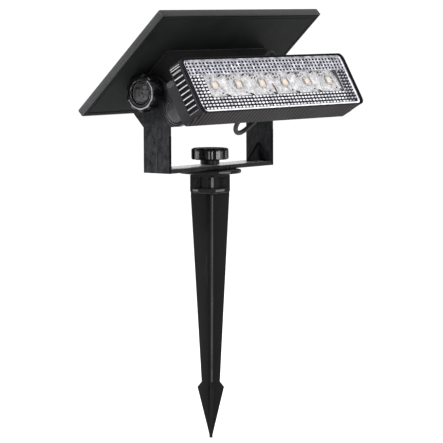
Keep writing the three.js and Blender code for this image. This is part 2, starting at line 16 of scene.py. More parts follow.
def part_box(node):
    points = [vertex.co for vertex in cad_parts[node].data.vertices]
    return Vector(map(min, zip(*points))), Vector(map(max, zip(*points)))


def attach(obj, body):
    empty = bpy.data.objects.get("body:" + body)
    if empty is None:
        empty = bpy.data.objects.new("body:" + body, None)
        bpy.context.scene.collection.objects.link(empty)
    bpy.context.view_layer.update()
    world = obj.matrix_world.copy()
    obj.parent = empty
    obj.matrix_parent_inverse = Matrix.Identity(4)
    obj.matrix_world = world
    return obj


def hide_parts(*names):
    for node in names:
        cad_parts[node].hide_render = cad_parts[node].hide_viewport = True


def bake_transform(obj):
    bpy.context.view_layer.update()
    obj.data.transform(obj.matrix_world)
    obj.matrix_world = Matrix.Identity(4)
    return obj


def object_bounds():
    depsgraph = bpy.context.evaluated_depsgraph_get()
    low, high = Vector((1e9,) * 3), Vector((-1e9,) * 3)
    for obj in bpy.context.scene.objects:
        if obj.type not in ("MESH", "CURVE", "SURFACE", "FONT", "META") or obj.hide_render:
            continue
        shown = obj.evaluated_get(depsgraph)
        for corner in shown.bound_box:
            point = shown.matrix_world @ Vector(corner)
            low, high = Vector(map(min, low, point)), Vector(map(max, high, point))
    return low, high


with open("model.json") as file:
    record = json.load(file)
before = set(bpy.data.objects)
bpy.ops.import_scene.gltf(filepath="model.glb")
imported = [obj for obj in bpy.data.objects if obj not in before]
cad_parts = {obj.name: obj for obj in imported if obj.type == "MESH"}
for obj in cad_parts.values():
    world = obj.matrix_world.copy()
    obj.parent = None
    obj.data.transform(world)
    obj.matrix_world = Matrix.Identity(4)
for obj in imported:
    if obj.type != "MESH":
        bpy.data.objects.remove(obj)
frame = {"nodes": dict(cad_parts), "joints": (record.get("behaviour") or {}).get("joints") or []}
CAD_BOX = [[float(value) for value in corner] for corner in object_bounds()]

# ---- places taken from the frame

PANEL_TILT = radians(43.5)
LAMP_LEAN = radians(29.5)
LENS_OFFSET = Vector((0, -0.0028, 0.0455))      # lens centre from the lamp's pivot, in the lamp's frame

JOINTS = {joint["name"]: joint for joint in frame["joints"]}
PANEL_PIVOT = Vector(JOINTS["panel_tilt"]["pos_m"])
LAMP_PIVOT = Vector(JOINTS["lamp_tilt"]["pos_m"])
WORLD = Matrix.Identity(4)


def shift(x, y, z):
    return Matrix.Translation((x, y, z))


def spin(angle, axis):
    return Matrix.Rotation(angle, 4, axis)


PANEL = shift(*PANEL_PIVOT) @ spin(pi - PANEL_TILT, "X")
LAMP = shift(*LAMP_PIVOT) @ spin(pi / 2 - LAMP_LEAN, "X") @ shift(*LENS_OFFSET)


def put(name, data, place=WORLD):
    made = bpy.data.objects.new(name, data)
    bpy.context.scene.collection.objects.link(made)
    made.matrix_world = place
    return made


def local_box(node, place=WORLD):
    """The lowest and highest corners of a CAD node, measured in a group's own frame."""
    inverse = place.inverted()
    points = [inverse @ vertex.co for vertex in frame["nodes"][node].data.vertices]
    low = Vector([min(point[i] for point in points) for i in range(3)])
    high = Vector([max(point[i] for point in points) for i in range(3)])
    return low, high


# ---- camera

CAMERA_AZIMUTH = radians(52)
CAMERA_DOWN = radians(5)
CAMERA_ROLL = radians(-0.2)
CAMERA_DISTANCE = 1.8456
CAMERA_LENS = 203.3
SENSOR_WIDTH = 36
AIM_HEIGHT = -0.0215
AIM_ACROSS = 0.0084


def build_camera():
    forward = Vector((cos(CAMERA_DOWN) * sin(CAMERA_AZIMUTH),
                      cos(CAMERA_DOWN) * cos(CAMERA_AZIMUTH), -sin(CAMERA_DOWN)))
    level = Vector((cos(CAMERA_AZIMUTH), -sin(CAMERA_AZIMUTH), 0))
    upright = level.cross(forward)
    right = level * cos(CAMERA_ROLL) + upright * sin(CAMERA_ROLL)
    up = upright * cos(CAMERA_ROLL) - level * sin(CAMERA_ROLL)
    place = Vector((0, 0, AIM_HEIGHT)) + AIM_ACROSS * level - CAMERA_DISTANCE * forward
    data = bpy.data.cameras.new("camera")
    data.lens = CAMERA_LENS
    data.sensor_width = SENSOR_WIDTH
    turned = Matrix((right, up, -forward)).transposed().to_4x4()
    bpy.context.scene.camera = put("camera", data, shift(*place) @ turned)


build_camera()


# ---- materials

class Look:
    """A node material under construction. Positions are metres in each piece's own frame."""

    def __init__(self, name, roughness=0.5, metallic=0.0, specular=0.5):
        self.material = bpy.data.materials.new(name)
        self.material.use_nodes = True
        self.tree = self.material.node_tree
        self.shader = self.tree.nodes["Principled BSDF"]
        self.output = self.tree.nodes["Material Output"]
        self.shader.inputs["Roughness"].default_value = roughness
        self.shader.inputs["Metallic"].default_value = metallic
        self.shader.inputs["Specular IOR Level"].default_value = specular
        where = self.node("TexCoord")
        self.place = where.outputs["Object"]
        self.facing = where.outputs["Normal"]

    def node(self, kind, inputs=None, **settings):
        made = self.tree.nodes.new("ShaderNode" + kind)
        for key, value in settings.items():
            setattr(made, key, value)
        for key, value in (inputs or {}).items():
            if isinstance(value, bpy.types.NodeSocket):
                self.tree.links.new(value, made.inputs[key])
            else:
                made.inputs[key].default_value = value
        return made

    def set(self, socket, value):
        self.tree.links.new(value, self.shader.inputs[socket])

    def noise(self, scale, detail=3.0, stretch=None):
        place = self.place
        if stretch:
            place = self.node("Mapping", {"Vector": place, "Scale": stretch}).outputs[0]
        made = self.node("TexNoise", {"Vector": place, "Scale": scale, "Detail": detail})
        return made.outputs["Fac"]

    def math(self, operation, first, second=0.0):
        return self.node("Math", {0: first, 1: second}, operation=operation).outputs[0]

    def spread(self, value, low, high, start=0.0, end=1.0):
        """Maps a value from one range to another, clamped."""
        inputs = {"Value": value, "From Min": start, "From Max": end, "To Min": low, "To Max": high}
        return self.node("MapRange", inputs).outputs["Result"]

    def mix(self, first, second, factor):
        made = self.node("Mix", data_type="RGBA")
        sockets = {"A": made.inputs[6], "B": made.inputs[7], "Factor": made.inputs[0]}
        for key, value in (("A", first), ("B", second), ("Factor", factor)):
            if isinstance(value, bpy.types.NodeSocket):
                self.tree.links.new(value, sockets[key])
            else:
                sockets[key].default_value = (*value, 1) if key != "Factor" else value
        return made.outputs[2]

    def bump(self, height, strength, distance=0.0001):
        inputs = {"Height": height, "Strength": strength, "Distance": distance}
        self.set("Normal", self.node("Bump", inputs).outputs["Normal"])


def times(colour, share):
    return [min(1, share * value) for value in colour]


def plastic(name, dark, light, roughness, specular=0.5, grain=2400, relief=0.25, scuffs=0.0,
            stretch=None, blotch=38):
    """Moulded plastic: broad tone drift, fine spark-eroded grain and faint handling scuffs."""
    look = Look(name, roughness, specular=specular)
    drift = look.spread(look.noise(blotch, 4, stretch), 0, 1, 0.32, 0.68)
    fine = look.noise(grain, 2)
    colour = look.mix(dark, light, drift)
    speck = look.spread(fine, 0, 0.45, 0.52, 0.75)
    colour = look.mix(colour, times(light, 2.2), speck)
    if scuffs:
        streak = look.spread(look.noise(240, 3, (1, 1, 0.12)), 0, scuffs, 0.66, 0.74)
        colour = look.mix(colour, times(light, 5), streak)
    look.set("Base Color", colour)
    uneven = look.math("ADD", fine, drift)
    look.set("Roughness", look.spread(uneven, roughness - 0.07, roughness + 0.09, 0.4, 1.6))
    look.bump(fine, relief)
    return look.material


def rubber(name, tone=0.012):
    look = Look(name, 0.7, specular=0.35)
    dust = look.spread(look.noise(160, 5), 0, 1, 0.45, 0.75)
    look.set("Base Color", look.mix((tone, tone, tone), (3 * tone, 3 * tone, 3 * tone), dust))
    look.set("Roughness", look.spread(look.noise(900, 2), 0.55, 0.82))
    look.bump(look.noise(1700, 3), 0.2)
    return look.material


def metal(name, tone, roughness, turned=None):
    look = Look(name, roughness, metallic=1.0)
    wear = look.spread(look.noise(300, 5), 0, 1, 0.3, 0.7)
    look.set("Base Color", look.mix(times(tone, 0.72), tone, wear))
    look.set("Roughness", look.spread(look.noise(1500, 3, turned), roughness - 0.08, roughness + 0.14))
    look.bump(look.noise(2600, 2, turned), 0.15)
    return look.material


def clear(name, tint, opacity, gloss_share=0.08, roughness=0.05):
    """Clear moulding: mostly see-through, with a hazy body colour and a gloss coat."""
    look = Look(name, roughness)
    haze = look.spread(look.noise(90, 4), 0.8 * opacity, 1.2 * opacity)
    look.set("Base Color", look.mix(tint, times(tint, 0.9), look.noise(260, 3)))
    see = look.node("BsdfTransparent")
    gloss = look.node("BsdfGlossy", {"Roughness": roughness})
    rim = look.spread(look.noise(35, 2), 0.6 * gloss_share, 1.4 * gloss_share)
    body = look.node("MixShader", {0: haze, 1: see.outputs[0], 2: look.shader.outputs[0]})
    whole = look.node("MixShader", {0: rim, 1: body.outputs[0], 2: gloss.outputs[0]})
    look.tree.links.new(whole.outputs[0], look.output.inputs["Surface"])
    return look.material


def lamp_shell():
    """The lamp's grey-brown shell, with the fine slanting tool lines of its mould; each line's top is
    painted lighter as painted highlight and each groove darker as painted shade.
    """
    look = Look("lamp_shell", 0.42, specular=0.004)
    drift = look.spread(look.noise(30, 4), 0, 1, 0.3, 0.7)
    colour = look.mix((0.015, 0.015, 0.0168), (0.027, 0.027, 0.0290), drift)
    turn = look.node("Mapping", {"Vector": look.place, "Rotation": (0, 0, 0.51)})
    inputs = {"Vector": turn.outputs[0], "Scale": 88.0, "Distortion": 0.6, "Detail": 1.0}
    lines = look.node("TexWave", inputs, bands_direction="X").outputs["Fac"]
    facing = look.node("SeparateXYZ", {0: look.facing}).outputs[0]
    long_side = look.math("LESS_THAN", look.math("ABSOLUTE", facing), 0.5)
    # On the long sides the real tool lines get painted highlight on their tops and painted shade in their
    # grooves.
    lit_crests = look.math("MULTIPLY", long_side, look.spread(lines, 0, 0.8, 0.50, 1.0))
    shaded_hollows = look.math("MULTIPLY", long_side, look.spread(lines, 0.7, 0, 0, 0.5))
    colour = look.mix(colour, (0.047, 0.040, 0.037), lit_crests)
    colour = look.mix(colour, (0.007, 0.007, 0.008), shaded_hollows)
    look.set("Base Color", colour)
    fine = look.noise(2200, 2)
    look.set("Roughness", look.spread(fine, 0.34, 0.5))
    look.bump(look.math("ADD", fine, lit_crests), 0.22)
    return look.material


def cell_silicon():
    """Blue silicon with the slow crystal drift of a cut wafer and its fine silver fingers."""
    look = Look("cell_silicon", 0.35, specular=0.02)
    inputs = {"Vector": look.place, "Scale": 120.0}
    crystal = look.node("TexVoronoi", inputs).outputs["Color"]
    blue = look.mix((0.006, 0.012, 0.055), (0.012, 0.030, 0.120), look.noise(60, 3))
    blue = look.mix(blue, crystal, 0.03)
    inputs = {"Vector": look.place, "Scale": 170.0}
    finger = look.node("TexWave", inputs, bands_direction="Y").outputs["Fac"]
    look.set("Base Color", look.mix(blue, (0.16, 0.18, 0.22), look.spread(finger, 0, 0.75, 0.93, 1.0)))
    look.set("Roughness", look.spread(look.noise(500, 2), 0.3, 0.5))
    return look.material


def fine_white(name, tone, shade, roughness=0.35, scale=500.0):
    look = Look(name, roughness)
    mottle = look.spread(look.noise(scale, 4), 0, 1, 0.3, 0.7)
    look.set("Base Color", look.mix(shade, tone, mottle))
    look.set("Roughness", look.spread(look.noise(2 * scale, 2), roughness - 0.1, roughness + 0.15))
    look.bump(look.noise(scale, 3), 0.2)
    return look.material


LENS_END_FROM = 0.0934         # where the painted shade on the lens border's far end starts, in the lamp's frame
LENS_TOP_FROM = 0.0188


def lens_edge_white():
    """The ground edge of the lens, with painted shade along its far end and its top."""
    look = Look("lens_edge_white", 0.2)
    axes = look.node("SeparateXYZ", {0: look.place})
    # The border's far end and top get painted shade.
    far = look.math("GREATER_THAN", axes.outputs[0], LENS_END_FROM)
    high = look.math("GREATER_THAN", axes.outputs[1], LENS_TOP_FROM)
    shaded_sides = look.math("MAXIMUM", far, high)
    mottle = look.spread(look.noise(160, 3), 0, 1, 0.35, 0.65)
    bright = look.mix((0.62, 0.62, 0.64), (0.95, 0.95, 0.96), mottle)
    soft = look.mix((0.10, 0.10, 0.12), (0.42, 0.42, 0.45), mottle)
    look.set("Base Color", look.mix(bright, soft, shaded_sides))
    look.set("Roughness", look.spread(look.noise(600, 2), 0.12, 0.3))
    return look.material


STAKE_PLASTIC = plastic("stake_black", (0.0025, 0.0025, 0.003), (0.0065, 0.0065, 0.0072), 0.42, 0.08,
                        scuffs=0.25, stretch=(1, 1, 0.2))
BRACKET_PLASTIC = plastic("bracket_black", (0.0015, 0.0015, 0.002), (0.016, 0.0165, 0.0185), 0.45, 0.08,
                          grain=1000, relief=0.5, stretch=(1, 1, 0.6), blotch=330)
KNOB_PLASTIC = plastic("knob_black", (0.002, 0.002, 0.0025), (0.005, 0.005, 0.006), 0.24, 0.14, relief=0.12)
# A lighter grey painted as highlight on the side knobs' lips.
KNOB_LIP_HIGHLIGHT = plastic("knob_lip_highlight_grey", (0.03, 0.03, 0.032), (0.12, 0.12, 0.125), 0.2, 0.5, grain=1200)
# A light grey painted on the base plate's top as painted sheen.
BASE_TOP_HIGHLIGHT = plastic("base_top_highlight_grey", (0.20, 0.20, 0.21), (0.30, 0.30, 0.31), 0.22, 0.8, grain=1400)
CAP_PLASTIC = plastic("cap_grey", (0.002, 0.002, 0.002), (0.040, 0.041, 0.040), 0.3, 0.15, grain=600,
                      stretch=(11, 11, 2.5))
# The bolt heads' own grey, also used as painted highlight on the stake's blade edges, the arms' parting
# lines and the lamp's rear corner.
BOLT_GREY_AND_HIGHLIGHT = plastic("bolt_head_and_highlight_grey", (0.012, 0.012, 0.013), (0.032, 0.032, 0.034), 0.3, 0.25, grain=900)
# A lighter grey painted as highlight on the stake.
STAKE_HIGHLIGHT_GREY = plastic("stake_highlight_grey", (0.030, 0.030, 0.032), (0.066, 0.066, 0.069), 0.35, 0.4,
                       grain=700)
TRAY_PLASTIC = plastic("tray_black", (0.006, 0.0065, 0.0065), (0.011, 0.0115, 0.0115), 0.6, 0.04)
# The tray's wall: the same black moulding, painted lighter grey as painted light.
TRAY_WALL_LIT = plastic("tray_wall_lit_grey", (0.014, 0.0145, 0.015), (0.024, 0.0245, 0.026), 0.5, 0.2, grain=1100)
HOUSING_PLASTIC = plastic("housing_black", (0.006, 0.006, 0.0065), (0.012, 0.012, 0.013), 0.6, 0.05)
LAMP_SHELL = lamp_shell()
# A dim grey painted as highlight on the lamp's lower end-rib tops.
RIB_CREST_DIM_HIGHLIGHT = plastic("rib_crest_dim_highlight", (0.08, 0.08, 0.085), (0.13, 0.13, 0.135), 0.4, 0.5, grain=1800)
# A lighter grey painted as highlight on knob lobes, knob rims and the arms' pivot rings.
RING_HIGHLIGHT = plastic("ring_highlight_grey", (0.10, 0.10, 0.105), (0.20, 0.20, 0.205), 0.3, 0.5, grain=1800)
# A bright grey painted as highlight on the lamp's end-rib tops.
RIB_CREST_HIGHLIGHT = plastic("rib_crest_highlight_grey", (0.18, 0.18, 0.19), (0.32, 0.32, 0.33), 0.3, 0.5, grain=1800)
# Black for the bezel, holder and switch, also used for painted shade in the reflector, at the window's end
# and on the bracket's edges.
BEZEL_BLACK_AND_SHADE = plastic("bezel_black_and_painted_shade", (0.001, 0.001, 0.0015), (0.003, 0.003, 0.004), 0.55, 0.03)
BLACK_RUBBER = rubber("black_rubber")
LEAD_RUBBER = rubber("lead_rubber", 0.009)
STEEL = metal("zinc_steel", (0.62, 0.63, 0.65), 0.3)
BRASS = metal("turned_brass", (0.78, 0.60, 0.28), 0.28, turned=(4, 1, 1))
GLASS = clear("solar_glass", (0.75, 0.85, 0.9), 0.004, 0.002, 0.3)
LENS_CLEAR = clear("lens_window_clear", (0.92, 0.93, 0.96), 0.012, 0.02)
PRISM = fine_white("prism_clear_white", (0.86, 0.86, 0.88), (0.26, 0.26, 0.31), 0.18, 300)
PRISM_DIM = fine_white("prism_lattice_white", (0.60, 0.60, 0.64), (0.10, 0.10, 0.14), 0.2, 260)
# A darker copy of the prism white: painted shade for the lens's far end.
PRISM_FAR_SHADED = fine_white("prism_far_shaded_white", (0.40, 0.40, 0.43), (0.07, 0.07, 0.10), 0.18, 300)
RIM_SHADOW = plastic("led_rim_grey", (0.13, 0.13, 0.135), (0.22, 0.22, 0.225), 0.3, grain=1500)
GROOVE = plastic("prism_groove_dark", (0.001, 0.001, 0.002), (0.006, 0.006, 0.010), 0.3, 0.06, grain=1500)
LENS_EDGE = lens_edge_white()
REFLECTOR = fine_white("reflector_white", (0.58, 0.57, 0.58), (0.20, 0.195, 0.205), 0.25, 330)
LED_BODY = fine_white("led_ceramic", (0.46, 0.44, 0.43), (0.26, 0.25, 0.25), 0.3, 900)
PHOSPHOR = fine_white("led_phosphor_cream", (0.60, 0.48, 0.37), (0.46, 0.37, 0.29), 0.3, 1400)
BOARD_WHITE = fine_white("board_white", (0.85, 0.85, 0.84), (0.62, 0.62, 0.61), 0.35, 700)
BOARD_GREEN = plastic("board_green", (0.010, 0.070, 0.030), (0.020, 0.120, 0.050), 0.35, grain=700)
SLEEVE_BLUE = plastic("battery_sleeve_blue", (0.02, 0.10, 0.30), (0.03, 0.16, 0.42), 0.3, grain=600)
SILICON = cell_silicon()
SILVER = metal("busbar_silver", (0.70, 0.71, 0.73), 0.35)


# ---- forms

def lifted(outline, z):
    return [(x, y, z) for x, y in outline]


class Form:
    """Vertices and faces gathered from simple closed parts."""

    def __init__(self):
        self.vertices = []
        self.faces = []

    def loft(self, rings, ends=True):
        """Skins rings of equally many points, counter-clockwise seen from the last ring."""
        start = len(self.vertices)
        count = len(rings[0])
        self.vertices += [Vector(point) for ring in rings for point in ring]
        for level in range(len(rings) - 1):
            base = start + level * count
            for i in range(count):
                j = (i + 1) % count
                self.faces.append((base + i, base + j, base + count + j, base + count + i))
        if ends:
            last = start + (len(rings) - 1) * count
            self.faces.append(tuple(start + i for i in reversed(range(count))))
            self.faces.append(tuple(last + i for i in range(count)))
        return self

    def hoop(self, rings):
        """Skins rings and joins the last one back to the first."""
        start, count = len(self.vertices), len(rings[0])
        last = start + (len(rings) - 1) * count
        self.loft(rings, ends=False)
        self.faces += [(last + i, last + (i + 1) % count, start + (i + 1) % count, start + i)
                       for i in range(count)]
        return self

    def plate(self, outline, low, high, edge=0.0004, steps=3):
        """A flat plate along z with both its edges rounded."""
        rings = []
        for k in range(steps + 1):
            angle = pi / 2 * k / steps
            rings.append((edge * (1 - sin(angle)), low + edge * (1 - cos(angle))))
        rings += [(inset, high - (z - low)) for inset, z in reversed(rings)]
        return self.loft([lifted(shrink(outline, inset), z) for inset, z in rings])

    def turned(self, profile, count=48, radius_at=None, centre=(0, 0)):
        """A turned part about z from (radius, z) pairs; radius_at scales a radius by its angle."""
        rings = []
        for radius, z in profile:
            ring = []
            for i in range(count):
                angle = 2 * pi * i / count
                reach = radius_at(radius, angle) if radius_at else radius
                ring.append((centre[0] + reach * cos(angle), centre[1] + reach * sin(angle), z))
            rings.append(ring)
        return self.loft(rings)

    def block(self, low, high, edge=0.0003):
        width, depth = high[0] - low[0], high[1] - low[1]
        outline = rectangle(width, depth, min(edge, width / 3, depth / 3), 2,
                            ((low[0] + high[0]) / 2, (low[1] + high[1]) / 2))
        return self.plate(outline, low[2], high[2], min(edge, (high[2] - low[2]) / 3), 2)

    def moved(self, matrix):
        self.vertices = [matrix @ vertex for vertex in self.vertices]
        return self

    def add(self, other):
        start = len(self.vertices)
        self.vertices += other.vertices
        self.faces += [tuple(start + i for i in face) for face in other.faces]
        return self


def rectangle(width, height, radius, steps=6, centre=(0, 0)):
    """A rounded rectangle's outline, counter-clockwise."""
    points = []
    for quarter, (sx, sy) in enumerate(((1, 1), (-1, 1), (-1, -1), (1, -1))):
        x = centre[0] + sx * (width / 2 - radius)
        y = centre[1] + sy * (height / 2 - radius)
        for k in range(steps + 1):
            angle = pi / 2 * (quarter + k / steps)
            points.append((x + radius * cos(angle), y + radius * sin(angle)))
    return points


def pad(width, height, radius, inset, centre=(0, 0), steps=6):
    """A rounded rectangle moved inwards by an inset."""
    corner = max(radius - inset, 0.15 * radius)
    return rectangle(width - 2 * inset, height - 2 * inset, corner, steps, centre)


def shrink(outline, inset):
    """The outline moved inwards by a small inset, corner by corner."""
    if not inset:
        return outline
    moved = []
    for i, point in enumerate(outline):
        before = Vector(point) - Vector(outline[i - 1])
        after = Vector(outline[(i + 1) % len(outline)]) - Vector(point)
        normals = [Vector((-edge.y, edge.x)).normalized() for edge in (before, after) if edge.length > 1e-9]
        across = sum(normals, Vector((0, 0))).normalized()
        reach = inset / max(0.4, across.dot(normals[0]))
        moved.append((point[0] + across.x * reach, point[1] + across.y * reach))
    return moved


def arc(centre, radius, start, end, steps):
    """Points along a counter-clockwise arc."""
    sweep = (end - start) % (2 * pi)
    return [(centre[0] + radius * cos(start + sweep * k / steps),
             centre[1] + radius * sin(start + sweep * k / steps)) for k in range(steps + 1)]


def arc_band(centre, inner, outer, start, end, steps):
    """The outline of the band between two arcs."""
    return arc(centre, outer, start, end, steps) + arc(centre, inner, start, end, steps)[::-1]


def tangent(first, second):
    """The direction from two circles' centres to their common tangent line on its right-hand side."""
    (ax, ay, ar), (bx, by, br) = first, second
    along = atan2(by - ay, bx - ax)
    return along - pi / 2 + asin((ar - br) / hypot(bx - ax, by - ay))


def piece(name, form, material, body, place=WORLD, replaces=(), sharp=35):
    """Makes a shown piece from a form, places it, and lets it ride on its CAD body."""
    mesh = bpy.data.meshes.new(name)
    mesh.from_pydata(form.vertices, [], form.faces)
    mesh.materials.append(material)
    mesh.shade_smooth()
    mesh.set_sharp_from_angle(angle=radians(sharp))
    made = put(name, mesh, place)
    if body:
        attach(made, body)
    if replaces:
        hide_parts(*replaces)
    return made


def keep(node, material, bevel=0.0):
    """Keeps a CAD node, with a finish and, where it shows, softened edges."""
    shown = frame["nodes"][node]
    shown.data.materials.clear()
    shown.data.materials.append(material)
    if bevel:
        shown.modifiers.new("weld", "WELD").merge_threshold = 0.00001
        soft = shown.modifiers.new("bevel", "BEVEL")
        soft.width = bevel
        soft.segments = 2
        soft.limit_method = "ANGLE"
        soft.angle_limit = radians(40)
        soft.use_clamp_overlap = True
    return shown


# ---- lead, in the part's own route

LEAD_ROUTE = [Vector(point) / 1000 for point in (
    (32, -22.6, 95.7), (32, -24.9, 97.9), (32.3, -26.9, 100.2), (34, -28.2, 102.2), (37, -28.6, 102.8),
    (40.2, -28.4, 101.2), (42.2, -28, 97.4), (42.8, -27.6, 92.4), (42.2, -27.2, 86.8), (40.6, -27, 80.8),
    (38, -26.9, 74.6), (35, -27, 68.6), (31.4, -27.1, 62.8), (26.8, -27.2, 58.0), (21.4, -27.2, 54.2),
    (15.4, -27.6, 51.0), (9.2, -28.2, 48.2), (2.8, -29.0, 46.0), (-2.8, -30.0, 45.0), (-7.8, -31.2, 45.6),
    (-11.4, -32.8, 48.0), (-12.7, -34.6, 51.0), (-13, -36.8, 53.7), (-13, -39.4, 55.4), (-13, -42.1, 56.9),
)]
LEAD_DIAMETER = 0.0034
LEAD_SPLIT = 12                  # the route point where the lead's two lengths meet
ROUTE_STEPS = 6                  # curve points from one route point to the next
PANEL_HOLDS = (0, 0, 0.094)      # a height along the upper length
LAMP_HOLDS = (-0.0105, 0, 0)     # an x position along the lower length


def smooth_route(points):
    """A Catmull-Rom curve through the points."""
    padded = [2 * points[0] - points[1], *points, 2 * points[-1] - points[-2]]
    line = []
    for i in range(1, len(padded) - 2):
        a, b, c, d = padded[i - 1:i + 3]
        for k in range(ROUTE_STEPS):
            t = k / ROUTE_STEPS
            line.append(0.5 * (2 * b + (c - a) * t + (2 * a - 5 * b + 4 * c - d) * t * t
                               + (3 * b - a - 3 * c + d) * t ** 3))
    line.append(points[-1])
    return line


def tube(line, radius, sides=20):
    """A closed tube along a line, its section carried along without twist."""
    form = Form()
    rings = []
    side = Vector((1, 0, 0))
    for i, point in enumerate(line):
        ahead = (line[min(i + 1, len(line) - 1)] - line[max(i - 1, 0)]).normalized()
        side = (side - side.dot(ahead) * ahead).normalized()
        other = ahead.cross(side)
        rings.append([point + radius * (side * cos(2 * pi * k / sides)
                                        + other * sin(2 * pi * k / sides)) for k in range(sides)])
    return form.loft(rings)


def build_lead():
    """Two lengths that meet on the bracket."""
    line = smooth_route(LEAD_ROUTE)
    split = ROUTE_STEPS * LEAD_SPLIT
    upper, lower = line[:split + 1], line[split:]
    for name, part, body, start, end in (
            ("lead_upper", upper, "panel", (0, 0, upper[-1].z), PANEL_HOLDS),
            ("lead_lower", lower, "lamp", (lower[0].x, 0, 0), LAMP_HOLDS)):
        made = piece(name, tube(part, LEAD_DIAMETER / 2), LEAD_RUBBER, None,
                     replaces=("lamp_lead",), sharp=60)
        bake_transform(made)


build_lead()


# ---- ground stake

PROUD = 0.00006                 # how far the painted highlight and painted shade strips stand out of their surface
FLANGE_HALF = 0.0103
FLANGE_RIB = 0.01467            # the reach of the head's corner ribs from the axis


def blade_edge_strip(turn, top, bottom, width):
    """A thin strip of painted highlight down the outer edge of a stake blade, between two (span, height)
    points.
    """
    along = Vector((cos(turn), sin(turn), 0))
    across = Vector((-sin(turn), cos(turn), 0))
    rings = []
    for span, height in (top, bottom):
        rings.append([(span + out) * along + side * width / 2 * across + Vector((0, 0, height))
                      for out, side in ((-0.0003, -1), (PROUD, -1), (PROUD, 1), (-0.0003, 1))])
    return Form().loft(rings)


def face_bands(front, left, low, high):
    """Thin bands of painted highlight on the -Y and -X faces of the square flange, as (start, end) along
    each.
    """
    skin, root = -FLANGE_HALF - PROUD, -FLANGE_HALF + 0.0003
    bands = Form().block((front[0], skin, low), (front[1], root, high), 0.00003)
    return bands.block((skin, left[0], low), (root, left[1], high), 0.00003)


def build_stake_marks():
    # Lighter strips and bands on the stake's blade edges, rib ends, flange faces and disc rim: painted
    # highlight.
    edges, ribs = Form(), Form()
    for turn in range(4):
        angle = pi / 2 * (turn + 0.5)
        edges.add(blade_edge_strip(angle, (0.01430, -0.0012), (0.00680, -0.1400), 0.0009))
        ribs.add(blade_edge_strip(angle, (FLANGE_RIB, 0.0120), (FLANGE_RIB, 0.0048), 0.0017))
    edges.add(face_bands((-0.0085, 0.0085), (-0.0085, 0.0085), 0.00005, 0.0004))
    bands = face_bands((-0.0062, 0.0040), (0.0030, 0.0088), 0.0012, 0.0027)
    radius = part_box("swivel_disc")[1].x
    bow = arc_band((0, 0), radius - 0.0003, radius + 0.00004, radians(235), radians(259), 12)
    bands.plate(bow, 0.0153, 0.0166, 0.00002, 1)
    piece("stake_highlight_bands", bands, STAKE_HIGHLIGHT_GREY, "stake")
    piece("stake_edge_highlights", edges, BOLT_GREY_AND_HIGHLIGHT, "stake")
    piece("stake_rib_highlights", ribs, STAKE_HIGHLIGHT_GREY, "stake")


def build_stake():
    build_stake_marks()
    keep("ground_stake", STAKE_PLASTIC, 0.00035)
    keep("stake_nut", BRASS)
    low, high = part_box("swivel_disc")
    radius = high.x
    disc = Form().turned([
        (radius - 0.0009, low.z), (radius - 0.0002, low.z + 0.0003), (radius, low.z + 0.0008),
        (radius, high.z - 0.0008), (radius - 0.0003, high.z - 0.0002), (radius - 0.0012, high.z),
    ], 72)
    piece("swivel_disc_rounded", disc, STAKE_PLASTIC, "stake",
          replaces=("swivel_disc",))

    marks = Form()
    for turn in range(4):
        for face in (-1, 1):
            boss = Form().turned([(0.0022, 0), (0.0022, 0.0003), (0.0019, 0.0006), (0.0008, 0.0007)], 20)
            place = spin(pi / 2 * (turn + 0.5), "Z") @ shift(0.0102, face * 0.0011, 0.0088)
            marks.add(boss.moved(place @ spin(-face * pi / 2, "X")))
    piece("stake_blade_bosses", marks, BRACKET_PLASTIC, "stake")


# ---- thumb knobs

LOBES = 10
NECK = 0.0071                   # the radius of a knob's neck
CAP_WELL = 0.009                # the radius of the recess that holds a side knob's cap


def knob_radius(outer, depth=0.0013):
    """The radius of a lobed knob by angle: flat lobes with narrow grooves between them."""
    def radius_at(radius, angle):
        wave = cos(LOBES * angle)
        groove = max(0.0, min(1.0, (0.25 - wave) / 0.5))
        groove = groove * groove * (3 - 2 * groove)
        return radius - depth * groove * min(1.0, radius / (0.9 * outer))
    return radius_at


def knob_form(outer, neck, height, recess=0.0):
    """A lobed knob about z, standing on its neck."""
    form = Form().turned([
        (NECK - 0.0005, 0), (NECK, 0.0004), (NECK, neck - 0.0006), (NECK + 0.0008, neck + 0.0003),
    ], 48)
    profile = [
        (NECK, neck + 0.0002), (outer - 0.0022, neck), (outer - 0.0008, neck + 0.0001),
        (outer - 0.0002, neck + 0.0005), (outer, neck + 0.0011), (outer, height - 0.0012),
        (outer - 0.0003, height - 0.0005), (outer - 0.0009, height - 0.0001), (outer - 0.0016, height),
    ]
    if recess:
        profile += [(CAP_WELL + 0.0005, height), (CAP_WELL, height - 0.0005), (CAP_WELL, height - recess),
                    (0.0003, height - recess)]
    else:
        profile += [(outer - 0.0028, height - 0.0004), (0.0040, height - 0.0004), (0.0003, height - 0.0004)]
    return form.turned(profile, 20 * LOBES, knob_radius(outer))


def ring_form(inner, outer, low, high):
    """A flat ring about z with a rounded crest."""
    count = 64
    middle = (low + high) / 2
    profile = [(inner, low), (outer, low), (outer, middle), ((inner + outer) / 2, high), (inner, middle)]
    return Form().hoop([[(radius * cos(2 * pi * i / count), radius * sin(2 * pi * i / count), z)
                         for i in range(count)] for radius, z in profile])


HIGHLIGHT_STRIPS = (                # painted highlight strips round a knob: direction in degrees, width, depth below the lobes
    (173, 0.0026, 0), (181, 0.0007, 0), (216, 0.0007, 0), (226, 0.0007, 0.0012), (245, 0.0034, 0),
    (263, 0.0006, 0.0012), (277, 0.0007, 0), (317, 0.0030, 0), (353, 0.0008, 0), (29, 0.0030, 0),
    (66, 0.0008, 0), (101, 0.0028, 0), (137, 0.0008, 0),
)


